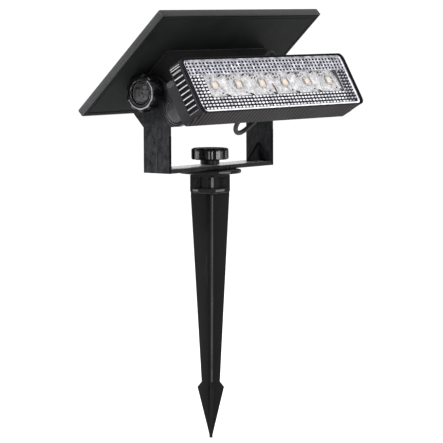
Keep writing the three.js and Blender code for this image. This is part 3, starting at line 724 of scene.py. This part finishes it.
def lobe_highlights(outer, low, high):
    """Upright strips of painted highlight on a knob's lobes and in some of its grooves."""
    strips = Form()
    for direction, width, sink in HIGHLIGHT_STRIPS:
        place = spin(radians(direction), "Z") @ shift(outer - sink - 0.0001, 0, (low + high) / 2)
        strip = Form().plate(rectangle(high - low, width, 0.0003, 2), 0, 0.00014, 0.00004, 1)
        strips.add(strip.moved(place @ spin(pi / 2, "Y")))
    return strips


def domed_cap(radius, low, high):
    """A shallow dome with a small raised rim."""
    rise = high - low
    return Form().turned([
        (radius, low), (radius, low + 0.35 * rise), (0.94 * radius, low + 0.55 * rise),
        (0.90 * radius, low + 0.45 * rise), (0.82 * radius, low + 0.5 * rise),
        (0.6 * radius, low + 0.8 * rise), (0.3 * radius, low + 0.96 * rise), (0.02 * radius, high),
    ], 64)


def rim_highlight(height):
    """A scalloped crescent of painted highlight round part of a knob's front rim."""
    steps = 72
    low, high = height - 0.0002, height + 0.00004
    rings = []
    for i in range(steps + 1):
        share = i / steps
        angle = radians(-35 - 210 * share)
        swell = sin(pi * share) ** 0.6
        scallop = 0.5 + 0.5 * cos(LOBES * angle)
        middle = 0.0106 + 0.0009 * share
        far = middle + 0.0001 + (0.0003 + 0.0007 * scallop) * swell
        near = middle - 0.0001 - 0.0002 * swell
        rings.append([(reach * cos(angle), reach * sin(angle), z)
                      for reach, z in ((far, low), (far, high), (near, high), (near, low))])
    return Form().loft(rings)


def build_base_knob():
    low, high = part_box("base_knob")
    outer = (high.x - low.x) / 2
    place = shift(0, 0, low.z) @ spin(radians(-7), "Z")
    form = knob_form(outer, 0.0037, high.z - low.z).moved(place)
    piece("base_knob_lobed", form, KNOB_PLASTIC, "base_thumbscrew",
          replaces=("base_knob",))
    # Painted highlight strips on the lobes.
    sheen = lobe_highlights(outer, low.z + 0.0044, high.z - 0.0019)
    piece("base_knob_highlights", sheen, RING_HIGHLIGHT, "base_thumbscrew")
    top = Form().turned([(0.0124, high.z - 0.0001), (0.0122, high.z), (0.0003, high.z - 0.0002)], 60)
    piece("base_knob_top", top, BEZEL_BLACK_AND_SHADE, "base_thumbscrew")
    keep("base_stud", STEEL)


def build_side_knob(name, side):
    low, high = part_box(f"knob_{name}")
    start = low.x if side > 0 else high.x
    height = high.x - low.x
    outer = (high.z - low.z) / 2
    place = shift(start, PANEL_PIVOT.y, PANEL_PIVOT.z) @ spin(side * pi / 2, "Y")
    body = f"{name}_thumbscrew"
    form = knob_form(outer, 0.0042, height, 0.0026)
    cap_low, cap_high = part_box(f"knob_cap_{name}")
    radius = (cap_high.z - cap_low.z) / 2
    top = height - 0.0005
    form.turned([(radius, top - 0.0018), (radius, top - 0.0014), (0.001, top - 0.0013)], 48)
    piece(f"knob_{name}_lobed", form, KNOB_PLASTIC, body, place, (f"knob_{name}",))
    piece(f"knob_cap_{name}_domed", domed_cap(0.0068, top - 0.0016, top), CAP_PLASTIC, body, place,
          (f"knob_cap_{name}",))
    # Lighter grey rings at the recess edge and round the cap: painted highlight.
    lip = ring_form(CAP_WELL, CAP_WELL + 0.0004, height - 0.0004, height + 0.00005)
    lip.add(ring_form(0.0075, 0.0079, top - 0.0015, top - 0.0007))
    piece(f"knob_{name}_lip", lip, KNOB_LIP_HIGHLIGHT, body, place)
    # Painted highlight crescent on the front rim.
    piece(f"knob_{name}_rim_highlight", rim_highlight(height), RING_HIGHLIGHT, body, place)
    keep(f"knob_stud_{name}", STEEL)


# ---- bracket

ARM_FACE = 0.062                # the outside of each arm from the middle plane
ARM_THICK = 0.0026
PLATE_THICK = 0.003
ARM_HALF = 0.012
LAMP_LOBE = 0.0108
PANEL_HUB = 0.0124
GUSSET = 0.014
HEEL = (0.011, 0.0505, 0.001)   # where the head's rear edge starts: y, z, radius
NOSE = (0.0175, 0.0625, 0.0045)


def arm_outline(bottom):
    """An arm's outline in y and z: a straight strip, then the lobed head with its rear nose."""
    lobe = (LAMP_PIVOT.y, LAMP_PIVOT.z, LAMP_LOBE)
    hub = (PANEL_PIVOT.y, PANEL_PIVOT.z, PANEL_HUB)
    circles = (HEEL, NOSE, hub, lobe)
    points = [(-ARM_HALF, bottom), (ARM_HALF, bottom)]
    for i, circle in enumerate(circles):
        before = circles[i - 1] if i else (ARM_HALF - HEEL[2], bottom, HEEL[2])
        after = circles[(i + 1) % len(circles)]
        steps = 5 if circle[2] < 0.005 else 18
        points += arc(circle[:2], circle[2], tangent(before, circle), tangent(circle, after), steps)
    leave = tangent(lobe, HEEL)
    x, z = lobe[0] + lobe[2] * cos(leave), lobe[1] + lobe[2] * sin(leave)
    slope = tan(leave + pi / 2)
    points.append((-ARM_HALF, z + slope * (-ARM_HALF - x)))
    return points


def across_x(form, low):
    """Turns a form drawn in x and y as y and z, with its z laid along x from a coordinate."""
    turn = Matrix(((0, 0, 1, low), (1, 0, 0, 0), (0, 1, 0, 0), (0, 0, 0, 1)))
    return form.moved(turn)


def build_bracket():
    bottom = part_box("u_bracket")[0].z
    top = bottom + PLATE_THICK
    form, line, dark = Form(), Form(), Form()
    for name, side in (("left", -1), ("right", 1)):
        outside, inside = side * ARM_FACE, side * (ARM_FACE - ARM_THICK)
        left, right = min(outside, inside), max(outside, inside)
        form.add(across_x(Form().plate(arm_outline(bottom), 0, ARM_THICK, 0.0005), left))
        place = shift(outside, LAMP_PIVOT.y, LAMP_PIVOT.z) @ spin(side * pi / 2, "Y")
        form.add(ring_form(0.0092, 0.0104, 0, 0.0015).moved(place))
        # Thin lighter rings on the pivot ring's edges: painted highlight.
        edges = ring_form(0.0104, 0.0107, 0, 0.0009)
        edges.add(ring_form(0.0089, 0.0092, 0, 0.0012))
        piece(f"pivot_ring_highlights_{name}", edges, RING_HIGHLIGHT, "bracket", place)
        # A lighter line down each arm's outside: the parting line painted lighter as painted highlight.
        line.block((outside - 0.0001, -0.0002, bottom + 0.002), (outside + 0.0001, 0.0002, 0.056), 0.00003)
        # Black strips on each arm's front edge: painted shade.
        dark.block((left + 0.0002, -ARM_HALF - 0.00005, bottom + 0.0004),
                   (right - 0.0002, -ARM_HALF + 0.0002, 0.0445), 0.00003)
        near, foot = ARM_FACE - ARM_THICK, ARM_FACE - ARM_THICK - GUSSET
        web = Form().plate([(foot, top), (near, top), (near, top + GUSSET)], -0.0012, 0.0012, 0.0003, 2)
        web.moved(Matrix(((side, 0, 0, 0), (0, 0, 1, 0), (0, 1, 0, 0), (0, 0, 0, 1))))
        form.add(web)
        # A black strip along the web's slanted edge: painted shade.
        slope = shift(side * (foot + near) / 2, 0, top + GUSSET / 2) @ spin(-side * pi / 4, "Y")
        dark.add(Form().block((-0.0096, -0.00115, -0.0001), (0.0096, 0.00115, PROUD), 0.00003).moved(slope))
    reach = ARM_FACE - 0.0006
    form.plate(rectangle(2 * reach, 2 * ARM_HALF, 0.0004, 2), bottom, top, 0.0004)
    bracket = piece("u_bracket_moulded", form, BRACKET_PLASTIC, "bracket",
                    replaces=("u_bracket",), sharp=15)
    make_faces_point_out(bracket)
    # The base plate's top gets a light grey skin: painted sheen.
    edge = ARM_FACE - ARM_THICK - 0.0003
    sheen = Form().block((-edge, -ARM_HALF + 0.0008, top - 0.0002), (edge, ARM_HALF - 0.0008, top + 0.00005),
                         0.00005)
    piece("base_plate_highlight", sheen, BASE_TOP_HIGHLIGHT, "bracket")
    piece("arm_parting_line_highlights", line, BOLT_GREY_AND_HIGHLIGHT, "bracket")
    piece("bracket_shade_edges", dark, BEZEL_BLACK_AND_SHADE, "bracket")


def make_faces_point_out(made):
    work = bmesh.new()
    work.from_mesh(made.data)
    bmesh.ops.recalc_face_normals(work, faces=work.faces)
    work.to_mesh(made.data)
    work.free()


# ---- small fittings

def screw_form(head_radius, head_height, shank_radius, shank):
    """A pan-head screw about z, the top of its head at z = 0."""
    return Form().turned([
        (shank_radius, -shank), (shank_radius, -head_height), (head_radius, -head_height),
        (head_radius, -0.4 * head_height), (0.8 * head_radius, -0.1 * head_height), (0.3 * head_radius, 0),
    ], 28)


def cross_form(reach, half, low, high):
    form = Form().block((-reach, -half, low), (reach, half, high), 0.0001)
    return form.block((-half, -reach, low), (half, reach, high), 0.0001)


def build_screw(node, body, place, flip):
    """Replaces a CAD screw with a turned one whose dark cross recess shows in its head."""
    low, high = local_box(node, place)
    centre = (low + high) / 2
    top = low.z if flip else high.z
    turn = spin(pi, "X") if flip else WORLD
    at = place @ shift(centre.x, centre.y, top) @ turn
    radius = (high.x - low.x) / 2
    form = screw_form(radius, 0.0017, 0.0014, high.z - low.z)
    piece(f"{node}_pan_head", form, STEEL, body, at, (node,))
    cross = cross_form(0.6 * radius, 0.15 * radius, -0.0002, 0.00004)
    piece(f"{node}_cross", cross, GROOVE, body, at)


def build_gland(node, body, place, axis):
    """A cable gland: a hexagonal nut and a ribbed sleeve that narrows to the lead."""
    low, high = local_box(node, place)
    centre = (low + high) / 2
    if axis == "y":
        at = place @ shift(centre.x, low.y, centre.z) @ spin(-pi / 2, "X")
        height = high.y - low.y
    else:
        at = place @ shift(centre.x, centre.y, high.z) @ spin(pi, "X")
        height = high.z - low.z
    hexagon = arc((0, 0), 0.0044, 0, 5 * pi / 3, 5)
    form = Form().plate(hexagon, 0, 0.0022, 0.0003)
    profile = [(0.0034, 0.0018)]
    z = 0.0022
    while z < height - 0.0012:
        profile += [(0.0034, z), (0.0034, z + 0.0005), (0.0031, z + 0.0006), (0.0031, z + 0.0009)]
        z += 0.001
    profile += [(0.0030, height - 0.0008), (0.0024, height - 0.0001), (0.0018, height)]
    form.turned(profile, 32)
    piece(f"{node}_ribbed", form, BLACK_RUBBER, body, at, (node,))


# ---- solar panel

def build_tray():
    """The tray: an outer wall painted a lighter grey than the underside as painted light, a shadow seam, a
    raised lip, and the black underside.
    """
    low, high = local_box("panel_tray", PANEL)
    glass_low, glass_high = local_box("solar_glass", PANEL)
    underside = local_box("housing_gasket", PANEL)[0].z - 0.0003
    width, height = high.x - low.x, high.y - low.y
    middle = (0, (high.y + low.y) / 2)
    rim = (width - (glass_high.x - glass_low.x)) / 2 - 0.0003

    def rings(steps):
        return [lifted(pad(width, height, 0.0014, inset, middle), z) for inset, z in steps]

    wall = Form().loft(rings([
        (rim + 0.002, low.z + 0.0031), (rim, low.z + 0.0031), (rim, low.z + 0.0003), (rim - 0.0003, low.z),
        (0.0005, low.z), (0.00015, low.z + 0.00015), (0, low.z + 0.0005), (0, underside - 0.0008),
        (0.0002, underside - 0.0004), (0.0006, underside - 0.0003), (0.0012, underside - 0.0003),
        (0.0012, underside - 0.0012),
    ]))
    piece("tray_wall", wall, TRAY_WALL_LIT, "panel", PANEL, ("panel_tray",))
    floor = Form().loft(rings([
        (0.0012, low.z + 0.0032), (0.0020, underside - 0.0013), (0.0020, underside - 0.0002),
        (0.0022, underside), (0.0036, underside), (0.0038, underside - 0.0004), (0.0044, underside - 0.0004),
        (0.0046, underside),
    ]))
    piece("tray_underside", floor, TRAY_PLASTIC, "panel", PANEL)


def build_cells():
    """Two rows of six clipped silicon wafers with silver busbars on a dark backing sheet."""
    low, high = local_box("solar_cells", PANEL)
    backing = Form().block(low, high, 0.0002)
    piece("cell_backing", backing, BLACK_RUBBER, "panel", PANEL, ("solar_cells",))
    columns, rows, gap, border = 6, 2, 0.0016, 0.001
    step_x = (high.x - low.x - 2 * border) / columns
    step_y = (high.y - low.y - 2 * border) / rows
    wafers, bars = Form(), Form()
    for column in range(columns):
        for row in range(rows):
            x = low.x + border + (column + 0.5) * step_x
            y = low.y + border + (row + 0.5) * step_y
            hx, hy, clip = (step_x - gap) / 2, (step_y - gap) / 2, 0.003
            outline = [(x + hx, y - hy + clip), (x + hx, y + hy - clip), (x + hx - clip, y + hy),
                       (x - hx + clip, y + hy), (x - hx, y + hy - clip), (x - hx, y - hy + clip),
                       (x - hx + clip, y - hy), (x + hx - clip, y - hy)]
            wafers.plate(outline, low.z - 0.00018, low.z + 0.0001, 0.00004, 1)
            for offset in (-0.27 * step_x, 0.27 * step_x):
                bar = x + offset
                bars.block((bar - 0.0005, y - hy, low.z - 0.00023), (bar + 0.0005, y + hy, low.z), 0.00003)
    piece("cell_wafers", wafers, SILICON, "panel", PANEL)
    piece("cell_busbars", bars, SILVER, "panel", PANEL)
    keep("solar_glass", GLASS)


def build_button():
    low, high = local_box("power_button", PANEL)
    centre = (low + high) / 2
    radius = 0.0056
    place = PANEL @ shift(centre.x, centre.y, 0)
    top = high.z
    form = Form().turned([
        (0.0070, low.z), (0.0070, low.z + 0.0012), (radius, low.z + 0.0012), (radius, top - 0.0009),
        (radius - 0.0003, top - 0.0003), (radius - 0.0010, top), (0.0036, top - 0.0001),
        (0.0033, top - 0.0005), (0.0010, top - 0.0006), (0.0002, top - 0.0006),
    ], 48)
    piece("power_button_domed", form, BLACK_RUBBER, "power_button", place, ("power_button",))


def build_panel():
    build_tray()
    build_cells()
    for i in range(1, 5):
        build_screw(f"housing_screw_{i}", "panel", PANEL, False)
    keep("battery_housing", HOUSING_PLASTIC, 0.0005)
    keep("battery_cell", SLEEVE_BLUE, 0.0008)
    keep("battery_holder", BEZEL_BLACK_AND_SHADE, 0.0003)
    for node, material in (
            ("housing_gasket", BLACK_RUBBER), ("battery_spring", STEEL), ("battery_contact", STEEL),
            ("control_board", BOARD_GREEN), ("push_switch", BEZEL_BLACK_AND_SHADE), ("panel_nut_left", BRASS),
            ("panel_nut_right", BRASS)):
        keep(node, material)
    build_button()
    build_gland("panel_gland", "panel", PANEL, "y")


# ---- lamp head

LENS_BORDER = 0.0012
LENS_CORNER = 0.0042
PRISM_PITCH = (0.00407, 0.00252)
PRISM_COLUMNS = 46
PRISM_ROWS = 15
LATTICE_ROWS = 4                # the top rows, which are a bright lattice over dark squares
LATTICE_SHORT = 0.0030          # how far its top line and upright bars stay from the pattern's ends
WINDOW = (0.15873, 0.0176)      # the clear middle of the lens
WINDOW_ACROSS = 0.00203         # how far it sits beside the lens's centre
LED_PITCH = 0.0274
LED_RAISE = 0.0009
LED_ASIDE = 0.0020
REFLECTOR_SHADE_MARKS = (             # painted shade bars from each LED: right, up, turn, half length
    (0.0074, 0.0078, 0.4, 0.0019), (0.0086, -0.0078, -0.32, 0.0020), (-0.0046, 0.0060, 0.4, 0.0004),
    (0.0030, -0.0062, 0.1, 0.0007),
)
BOUNDARY_SHADE_DOTS = (               # painted shade dots beside each cell boundary: across, up, radius
    (0.0002, 0.0080, 0.0007), (0.0038, 0.0073, 0.0008), (0.0074, 0.0073, 0.0006), (0.0041, 0.0048, 0.0006),
    (0.0076, 0.0048, 0.0005),
)


def in_window(x, y):
    return abs(x - WINDOW_ACROSS) < WINDOW[0] / 2 and abs(y) < WINDOW[1] / 2


def framed(outer, inner, low, high):
    """A closed frame between an outer and an inner outline."""
    corners = ((inner, low), (outer, low), (outer, high), (inner, high))
    return Form().hoop([lifted(outline, z) for outline, z in corners])


def build_lens():
    low, high = local_box("lamp_lens", LAMP)
    width, height = high.x - low.x, high.y - low.y
    window = rectangle(*WINDOW, 0.0022, 8, (WINDOW_ACROSS, 0))
    border = pad(width, height, LENS_CORNER, LENS_BORDER, steps=8)
    edge = framed(pad(width, height, LENS_CORNER, 0, steps=8), border, low.z, high.z)
    piece("lens_edge", edge, LENS_EDGE, "lamp", LAMP, ("lamp_lens",))
    plate = framed(border, window, low.z, high.z - 0.0011)
    piece("lens_groove_plate", plate, GROOVE, "lamp", LAMP)

    prisms, dim_prisms, lattice = Form(), Form(), Form()
    pitch_x, pitch_y = PRISM_PITCH
    base, top = high.z - 0.0012, high.z - 0.0003
    end = PRISM_COLUMNS / 2 * pitch_x
    lattice_low = (PRISM_ROWS / 2 - LATTICE_ROWS) * pitch_y
    lattice_high = PRISM_ROWS / 2 * pitch_y
    for column in range(PRISM_COLUMNS):
        x = (column - (PRISM_COLUMNS - 1) / 2) * pitch_x
        for row in range(PRISM_ROWS):
            y = (row - (PRISM_ROWS - 1) / 2) * pitch_y
            corner = abs(x) > width / 2 - 0.0045 and abs(y) > height / 2 - LENS_CORNER
            if in_window(x, y) or corner or y > lattice_low:
                continue
            # The prisms past the window's far end get a darker white: painted shade.
            form = dim_prisms if x > WINDOW_ACROSS + WINDOW[0] / 2 else prisms
            form.add(prism(x, y, base, top, -0.15 if abs(x) < WINDOW[0] / 2 else 0.3))
        bar = x - pitch_x / 2
        if abs(bar) < end - LATTICE_SHORT:
            lattice.block((bar - 0.0007, lattice_low, base), (bar + 0.0007, lattice_high, top - 0.0001),
                          0.0003)
    for row in range(LATTICE_ROWS + 1):
        y = lattice_low + row * pitch_y
        reach = end - (LATTICE_SHORT if row == LATTICE_ROWS else 0.0008)
        lattice.block((-reach, y - 0.00036, base), (reach, y + 0.00036, top), 0.0002)
    piece("lens_prisms", prisms, PRISM, "lamp", LAMP, sharp=70)
    piece("lens_prisms_far_end", dim_prisms, PRISM_FAR_SHADED, "lamp", LAMP, sharp=70)
    piece("lens_upper_lattice", lattice, PRISM_DIM, "lamp", LAMP)

    pane = Form().plate(window, high.z - 0.0005, high.z - 0.0002, 0.0001, 1)
    piece("lens_window", pane, LENS_CLEAR, "lamp", LAMP)


def prism(x, y, low, high, lean):
    """One low pillow of the lens pattern, skewed sideways by its lean."""
    half_x, half_y = 0.32 * PRISM_PITCH[0], 0.29 * PRISM_PITCH[1]
    rings = []
    for scale, level in ((1.0, 0.0), (0.93, 0.5), (0.72, 0.82), (0.38, 1.0)):
        ring = []
        for k in range(10):
            angle = 2 * pi * k / 10
            across = scale * half_x * copysign(abs(cos(angle)) ** 0.75, cos(angle))
            along = scale * half_y * copysign(abs(sin(angle)) ** 0.75, sin(angle))
            ring.append((x + across + lean * along, y + along, low + level * (high - low)))
        rings.append(ring)
    return Form().loft(rings)


def shade_mark(x, y, turn, half_length, half_width, top):
    """A short dark bar lying in the reflector, as painted shade."""
    bar = Form().block((-half_length, -half_width, 0), (half_length, half_width, 0.0005), 0.0002)
    return bar.moved(shift(x, y, top - 0.0004) @ spin(turn, "Z"))


def build_reflector():
    """The white tray behind the window: six shallow bowls, each around an LED."""
    form = Form()
    top = local_box("lamp_lens", LAMP)[1].z - 0.0010
    half_y = WINDOW[1] / 2 + 0.001
    steps = ((1.0, 0.0), (0.90, -0.0005), (0.62, -0.0016), (0.40, -0.0021), (0.30, -0.0022))
    for i in range(6):
        x = (i - 2.5) * LED_PITCH
        rings = []
        for scale, drop in steps:
            middle = (x + LED_ASIDE * (1 - scale), LED_RAISE * (1 - scale))
            corner = 0.0002 + 0.006 * (1 - scale)
            outline = rectangle(LED_PITCH * scale, 2 * half_y * scale, corner, 4, middle)
            rings.append(lifted(outline, top + drop))
        form.loft(list(reversed(rings)), ends=False)
        start = len(form.vertices)
        form.vertices += [Vector(point) for point in rings[-1]]
        form.faces.append(tuple(range(start, start + len(rings[-1]))))
    piece("reflector_tray", form, REFLECTOR, "lamp", LAMP)

    seat = top + steps[-1][1]
    bodies, domes, marks, rims, ribs = Form(), Form(), Form(), Form(), Form()
    for i in range(6):
        x = (i - 2.5) * LED_PITCH + LED_ASIDE
        bodies.block((x - 0.0031, LED_RAISE - 0.0030, seat), (x + 0.0031, LED_RAISE + 0.0030, seat + 0.0009),
                     0.0004)
        domes.turned([(0.0026, seat + 0.0008), (0.0025, seat + 0.0012), (0.0018, seat + 0.0017),
                      (0.0006, seat + 0.0019)], 24, centre=(x, LED_RAISE))
        for reach, turn, half in ((0.0046, 2.6, 0.9), (0.0050, 0.2, 0.5)):
            bow = arc_band((x, LED_RAISE), reach - 0.00035, reach, turn - half, turn + half, 10)
            rims.plate(bow, seat + 0.0003, seat + 0.0008, 0.00005, 1)
        # Dark bars and dots on the white reflector: painted shadow and dark reflection.
        for dx, dy, turn, reach in REFLECTOR_SHADE_MARKS:
            marks.add(shade_mark(x + dx, dy, turn, reach, 0.00055, top))
        if i == 5:
            continue
        boundary = x + LED_PITCH / 2 - LED_ASIDE
        for dx, y, size in BOUNDARY_SHADE_DOTS:
            dot = [(size, top - 0.0004), (size, top + 0.0001), (0.5 * size, top + 0.0002)]
            marks.turned(dot, 10, centre=(boundary + dx, y))
        # A long dark bar: the boundary rib's painted shadow.
        if i == 2:
            marks.add(shade_mark(x + 0.0104, -0.0038, -1.38, 0.0040, 0.00035, top))
    for i in range(7):
        x = (i - 3) * LED_PITCH
        ribs.block((x - 0.0004, -half_y, top - 0.0014), (x + 0.0004, half_y, top + 0.0001), 0.0002)
    piece("led_packages", bodies, LED_BODY, "lamp", LAMP,
          tuple(f"led_{i}" for i in range(1, 7)))
    piece("led_domes", domes, PHOSPHOR, "lamp", LAMP)
    piece("led_shadow_rims", rims, RIM_SHADOW, "lamp", LAMP)
    piece("reflector_painted_shade", marks, BEZEL_BLACK_AND_SHADE, "lamp", LAMP)
    piece("reflector_ribs", ribs, LED_BODY, "lamp", LAMP)
    outline = [(0.0776, 0.0070), (0.0788, 0.0048), (0.0796, 0.0010), (0.0800, -0.0062), (0.0812, -0.0074),
               (0.0814, 0.0086), (0.0790, 0.0088)]
    shade = Form().plate(outline, top - 0.0003, top + 0.0004, 0.0001, 1)
    piece("window_end_shade", shade, BEZEL_BLACK_AND_SHADE, "lamp", LAMP)


def build_bezel():
    """The black lip around the lens, standing a little proud of it."""
    low, high = local_box("lamp_housing", LAMP)
    lens_low, lens_high = local_box("lamp_lens", LAMP)
    whole = (high.x - low.x + 0.0001, high.y - low.y + 0.0001, 0.005)
    hole = (lens_high.x - lens_low.x + 0.0005, lens_high.y - lens_low.y + 0.0005, 0.0045)
    steps = (
        (hole, 0, -0.0012), (whole, 0, -0.0012), (whole, 0, -0.0004), (whole, 0.0001, -0.0001),
        (whole, 0.0003, 0.00005), (hole, -0.0002, 0.00005), (hole, 0, -0.0003),
    )
    form = Form().hoop([lifted(pad(*size, inset, steps=8), high.z + rise) for size, inset, rise in steps])
    piece("lens_bezel", form, BEZEL_BLACK_AND_SHADE, "lamp", LAMP)


END_RIB_LOW = -0.0173
END_RIB_PITCH = 0.0039
REAR_CORNER = (0.0097, -0.0154)  # the painted highlight patch on the rear block's end wall: y, z


def build_end_ribs():
    """Pale painted highlight on the tops of the cooling ribs of both end walls, fading out at the lowest."""
    face = local_box("lamp_housing", LAMP)[1].x
    bright, dim, corner_highlight = Form(), Form(), Form()
    spots = [(END_RIB_LOW + END_RIB_PITCH * i, 0.0008, bright) for i in range(1, 8)]
    spots += [(END_RIB_LOW, 0.0004, dim), (0.0140, 0.0016, dim), (0.0166, 0.0005, bright),
              (0.0181, 0.0004, bright)]
    for side in (-1, 1):
        outwards = spin(side * pi / 2, "Y")
        for y, width, form in spots:
            strip = Form().plate(rectangle(0.0088, width, 0.45 * width, 4), 0, 0.0006, 0.3 * width)
            form.add(strip.moved(shift(side * (face - 0.0005), y, -0.0065) @ outwards))
        # A lighter patch at the rear block's top corner: painted highlight.
        patch = Form().plate(rectangle(0.0066, 0.0040, 0.0019, 5), 0, 0.0002, 0.00008, 1)
        corner_highlight.add(patch.moved(shift(side * (face - 0.0001), *REAR_CORNER) @ outwards))
    piece("rear_corner_highlight", corner_highlight, BOLT_GREY_AND_HIGHLIGHT, "lamp", LAMP)
    piece("end_rib_crests", bright, RIB_CREST_HIGHLIGHT, "lamp", LAMP)
    piece("end_rib_crests_dim", dim, RIB_CREST_DIM_HIGHLIGHT, "lamp", LAMP)


BOLT_SEAT = 0.0623               # the underside of a bolt's head from the middle plane


def build_pivot_bolt(name, side):
    """A pivot bolt with a low domed head inside the arm's ring."""
    low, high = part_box(f"lamp_bolt_{name}")
    centre = (low + high) / 2
    place = shift(side * BOLT_SEAT, centre.y, centre.z) @ spin(side * pi / 2, "Y")
    reach = (high.x - low.x) - (abs(low.x if side < 0 else high.x) - BOLT_SEAT)
    form = Form().turned([
        (0.0029, -reach), (0.0029, 0), (0.0080, 0), (0.0080, 0.0004), (0.0077, 0.0009), (0.0070, 0.0013),
        (0.0058, 0.0016), (0.0040, 0.0019), (0.0020, 0.0020), (0.0002, 0.0020),
    ], 64)
    piece(f"lamp_bolt_{name}_domed", form, BOLT_GREY_AND_HIGHLIGHT, "lamp", place,
          (f"lamp_bolt_{name}",))
    keep(f"lamp_nut_{name}", STEEL, 0.0002)


def build_lamp():
    keep("lamp_housing", LAMP_SHELL, 0.0003)
    keep("lamp_rear_cover", LAMP_SHELL, 0.0004)
    keep("lens_gasket", BLACK_RUBBER)
    keep("led_board", BOARD_WHITE)
    build_lens()
    build_reflector()
    build_bezel()
    build_end_ribs()
    build_gland("lamp_gland", "lamp", LAMP, "z")
    for i in range(1, 5):
        build_screw(f"cover_screw_{i}", "lamp", LAMP, True)
    for name, side in (("left", -1), ("right", 1)):
        build_pivot_bolt(name, side)


build_stake()
build_base_knob()
build_bracket()
build_panel()
build_lamp()
build_side_knob("left", -1)
build_side_knob("right", 1)


# ---- stage and light

FLOOR_HALF = 6.0
FLOOR_GAP = 0.0005
WORLD_LIGHT = 1.06
AIM = (0, 0, 0.03)
LIGHTS = (                      # name, place, aim, width, height, power
    ("key", (-1.5, 0.1, 1.2), AIM, 0.25, 0.25, 34),
    ("front", (0.3, -1.9, 0.9), AIM, 0.5, 0.5, 10),
    ("strip_left", (-1.6, -0.15, 0.05), (0, 0, 0), 0.12, 0.9, 5),
    ("strip_front", (-1.0, -1.3, -0.02), (0, 0, 0), 0.10, 0.5, 2.5),
    ("strip_right", (0.3, -1.6, 0.05), (0, 0, 0), 0.12, 0.9, 5),
    ("rim", (-0.75, 1.8, 0.85), AIM, 0.5, 0.5, 16),
)


def area_light(name, place, aim, width, height, power):
    data = bpy.data.lights.new(name, "AREA")
    data.shape = "RECTANGLE"
    data.size = width
    data.size_y = height
    data.energy = power
    toward = Vector(aim) - Vector(place)
    put(name, data, shift(*place) @ toward.to_track_quat("-Z", "Y").to_matrix().to_4x4())


def build_stage():
    low = CAD_BOX[0][2] - FLOOR_GAP
    floor = bpy.data.meshes.new("floor")
    corners = [(x * FLOOR_HALF, y * FLOOR_HALF, low) for x, y in ((-1, -1), (1, -1), (1, 1), (-1, 1))]
    floor.from_pydata(corners, [], [(0, 1, 2, 3)])
    look = Look("floor_white", 0.9)
    look.set("Base Color", look.mix((0.93, 0.93, 0.93), (0.96, 0.96, 0.96), look.noise(2, 2)))
    floor.materials.append(look.material)
    put("floor", floor)

    world = bpy.data.worlds.new("studio")
    world.use_nodes = True
    background = world.node_tree.nodes["Background"]
    background.inputs["Color"].default_value = (1, 1, 1, 1)
    background.inputs["Strength"].default_value = WORLD_LIGHT
    bpy.context.scene.world = world
    bpy.context.scene.view_settings.view_transform = "Standard"
    for light in LIGHTS:
        area_light(*light)


build_stage()
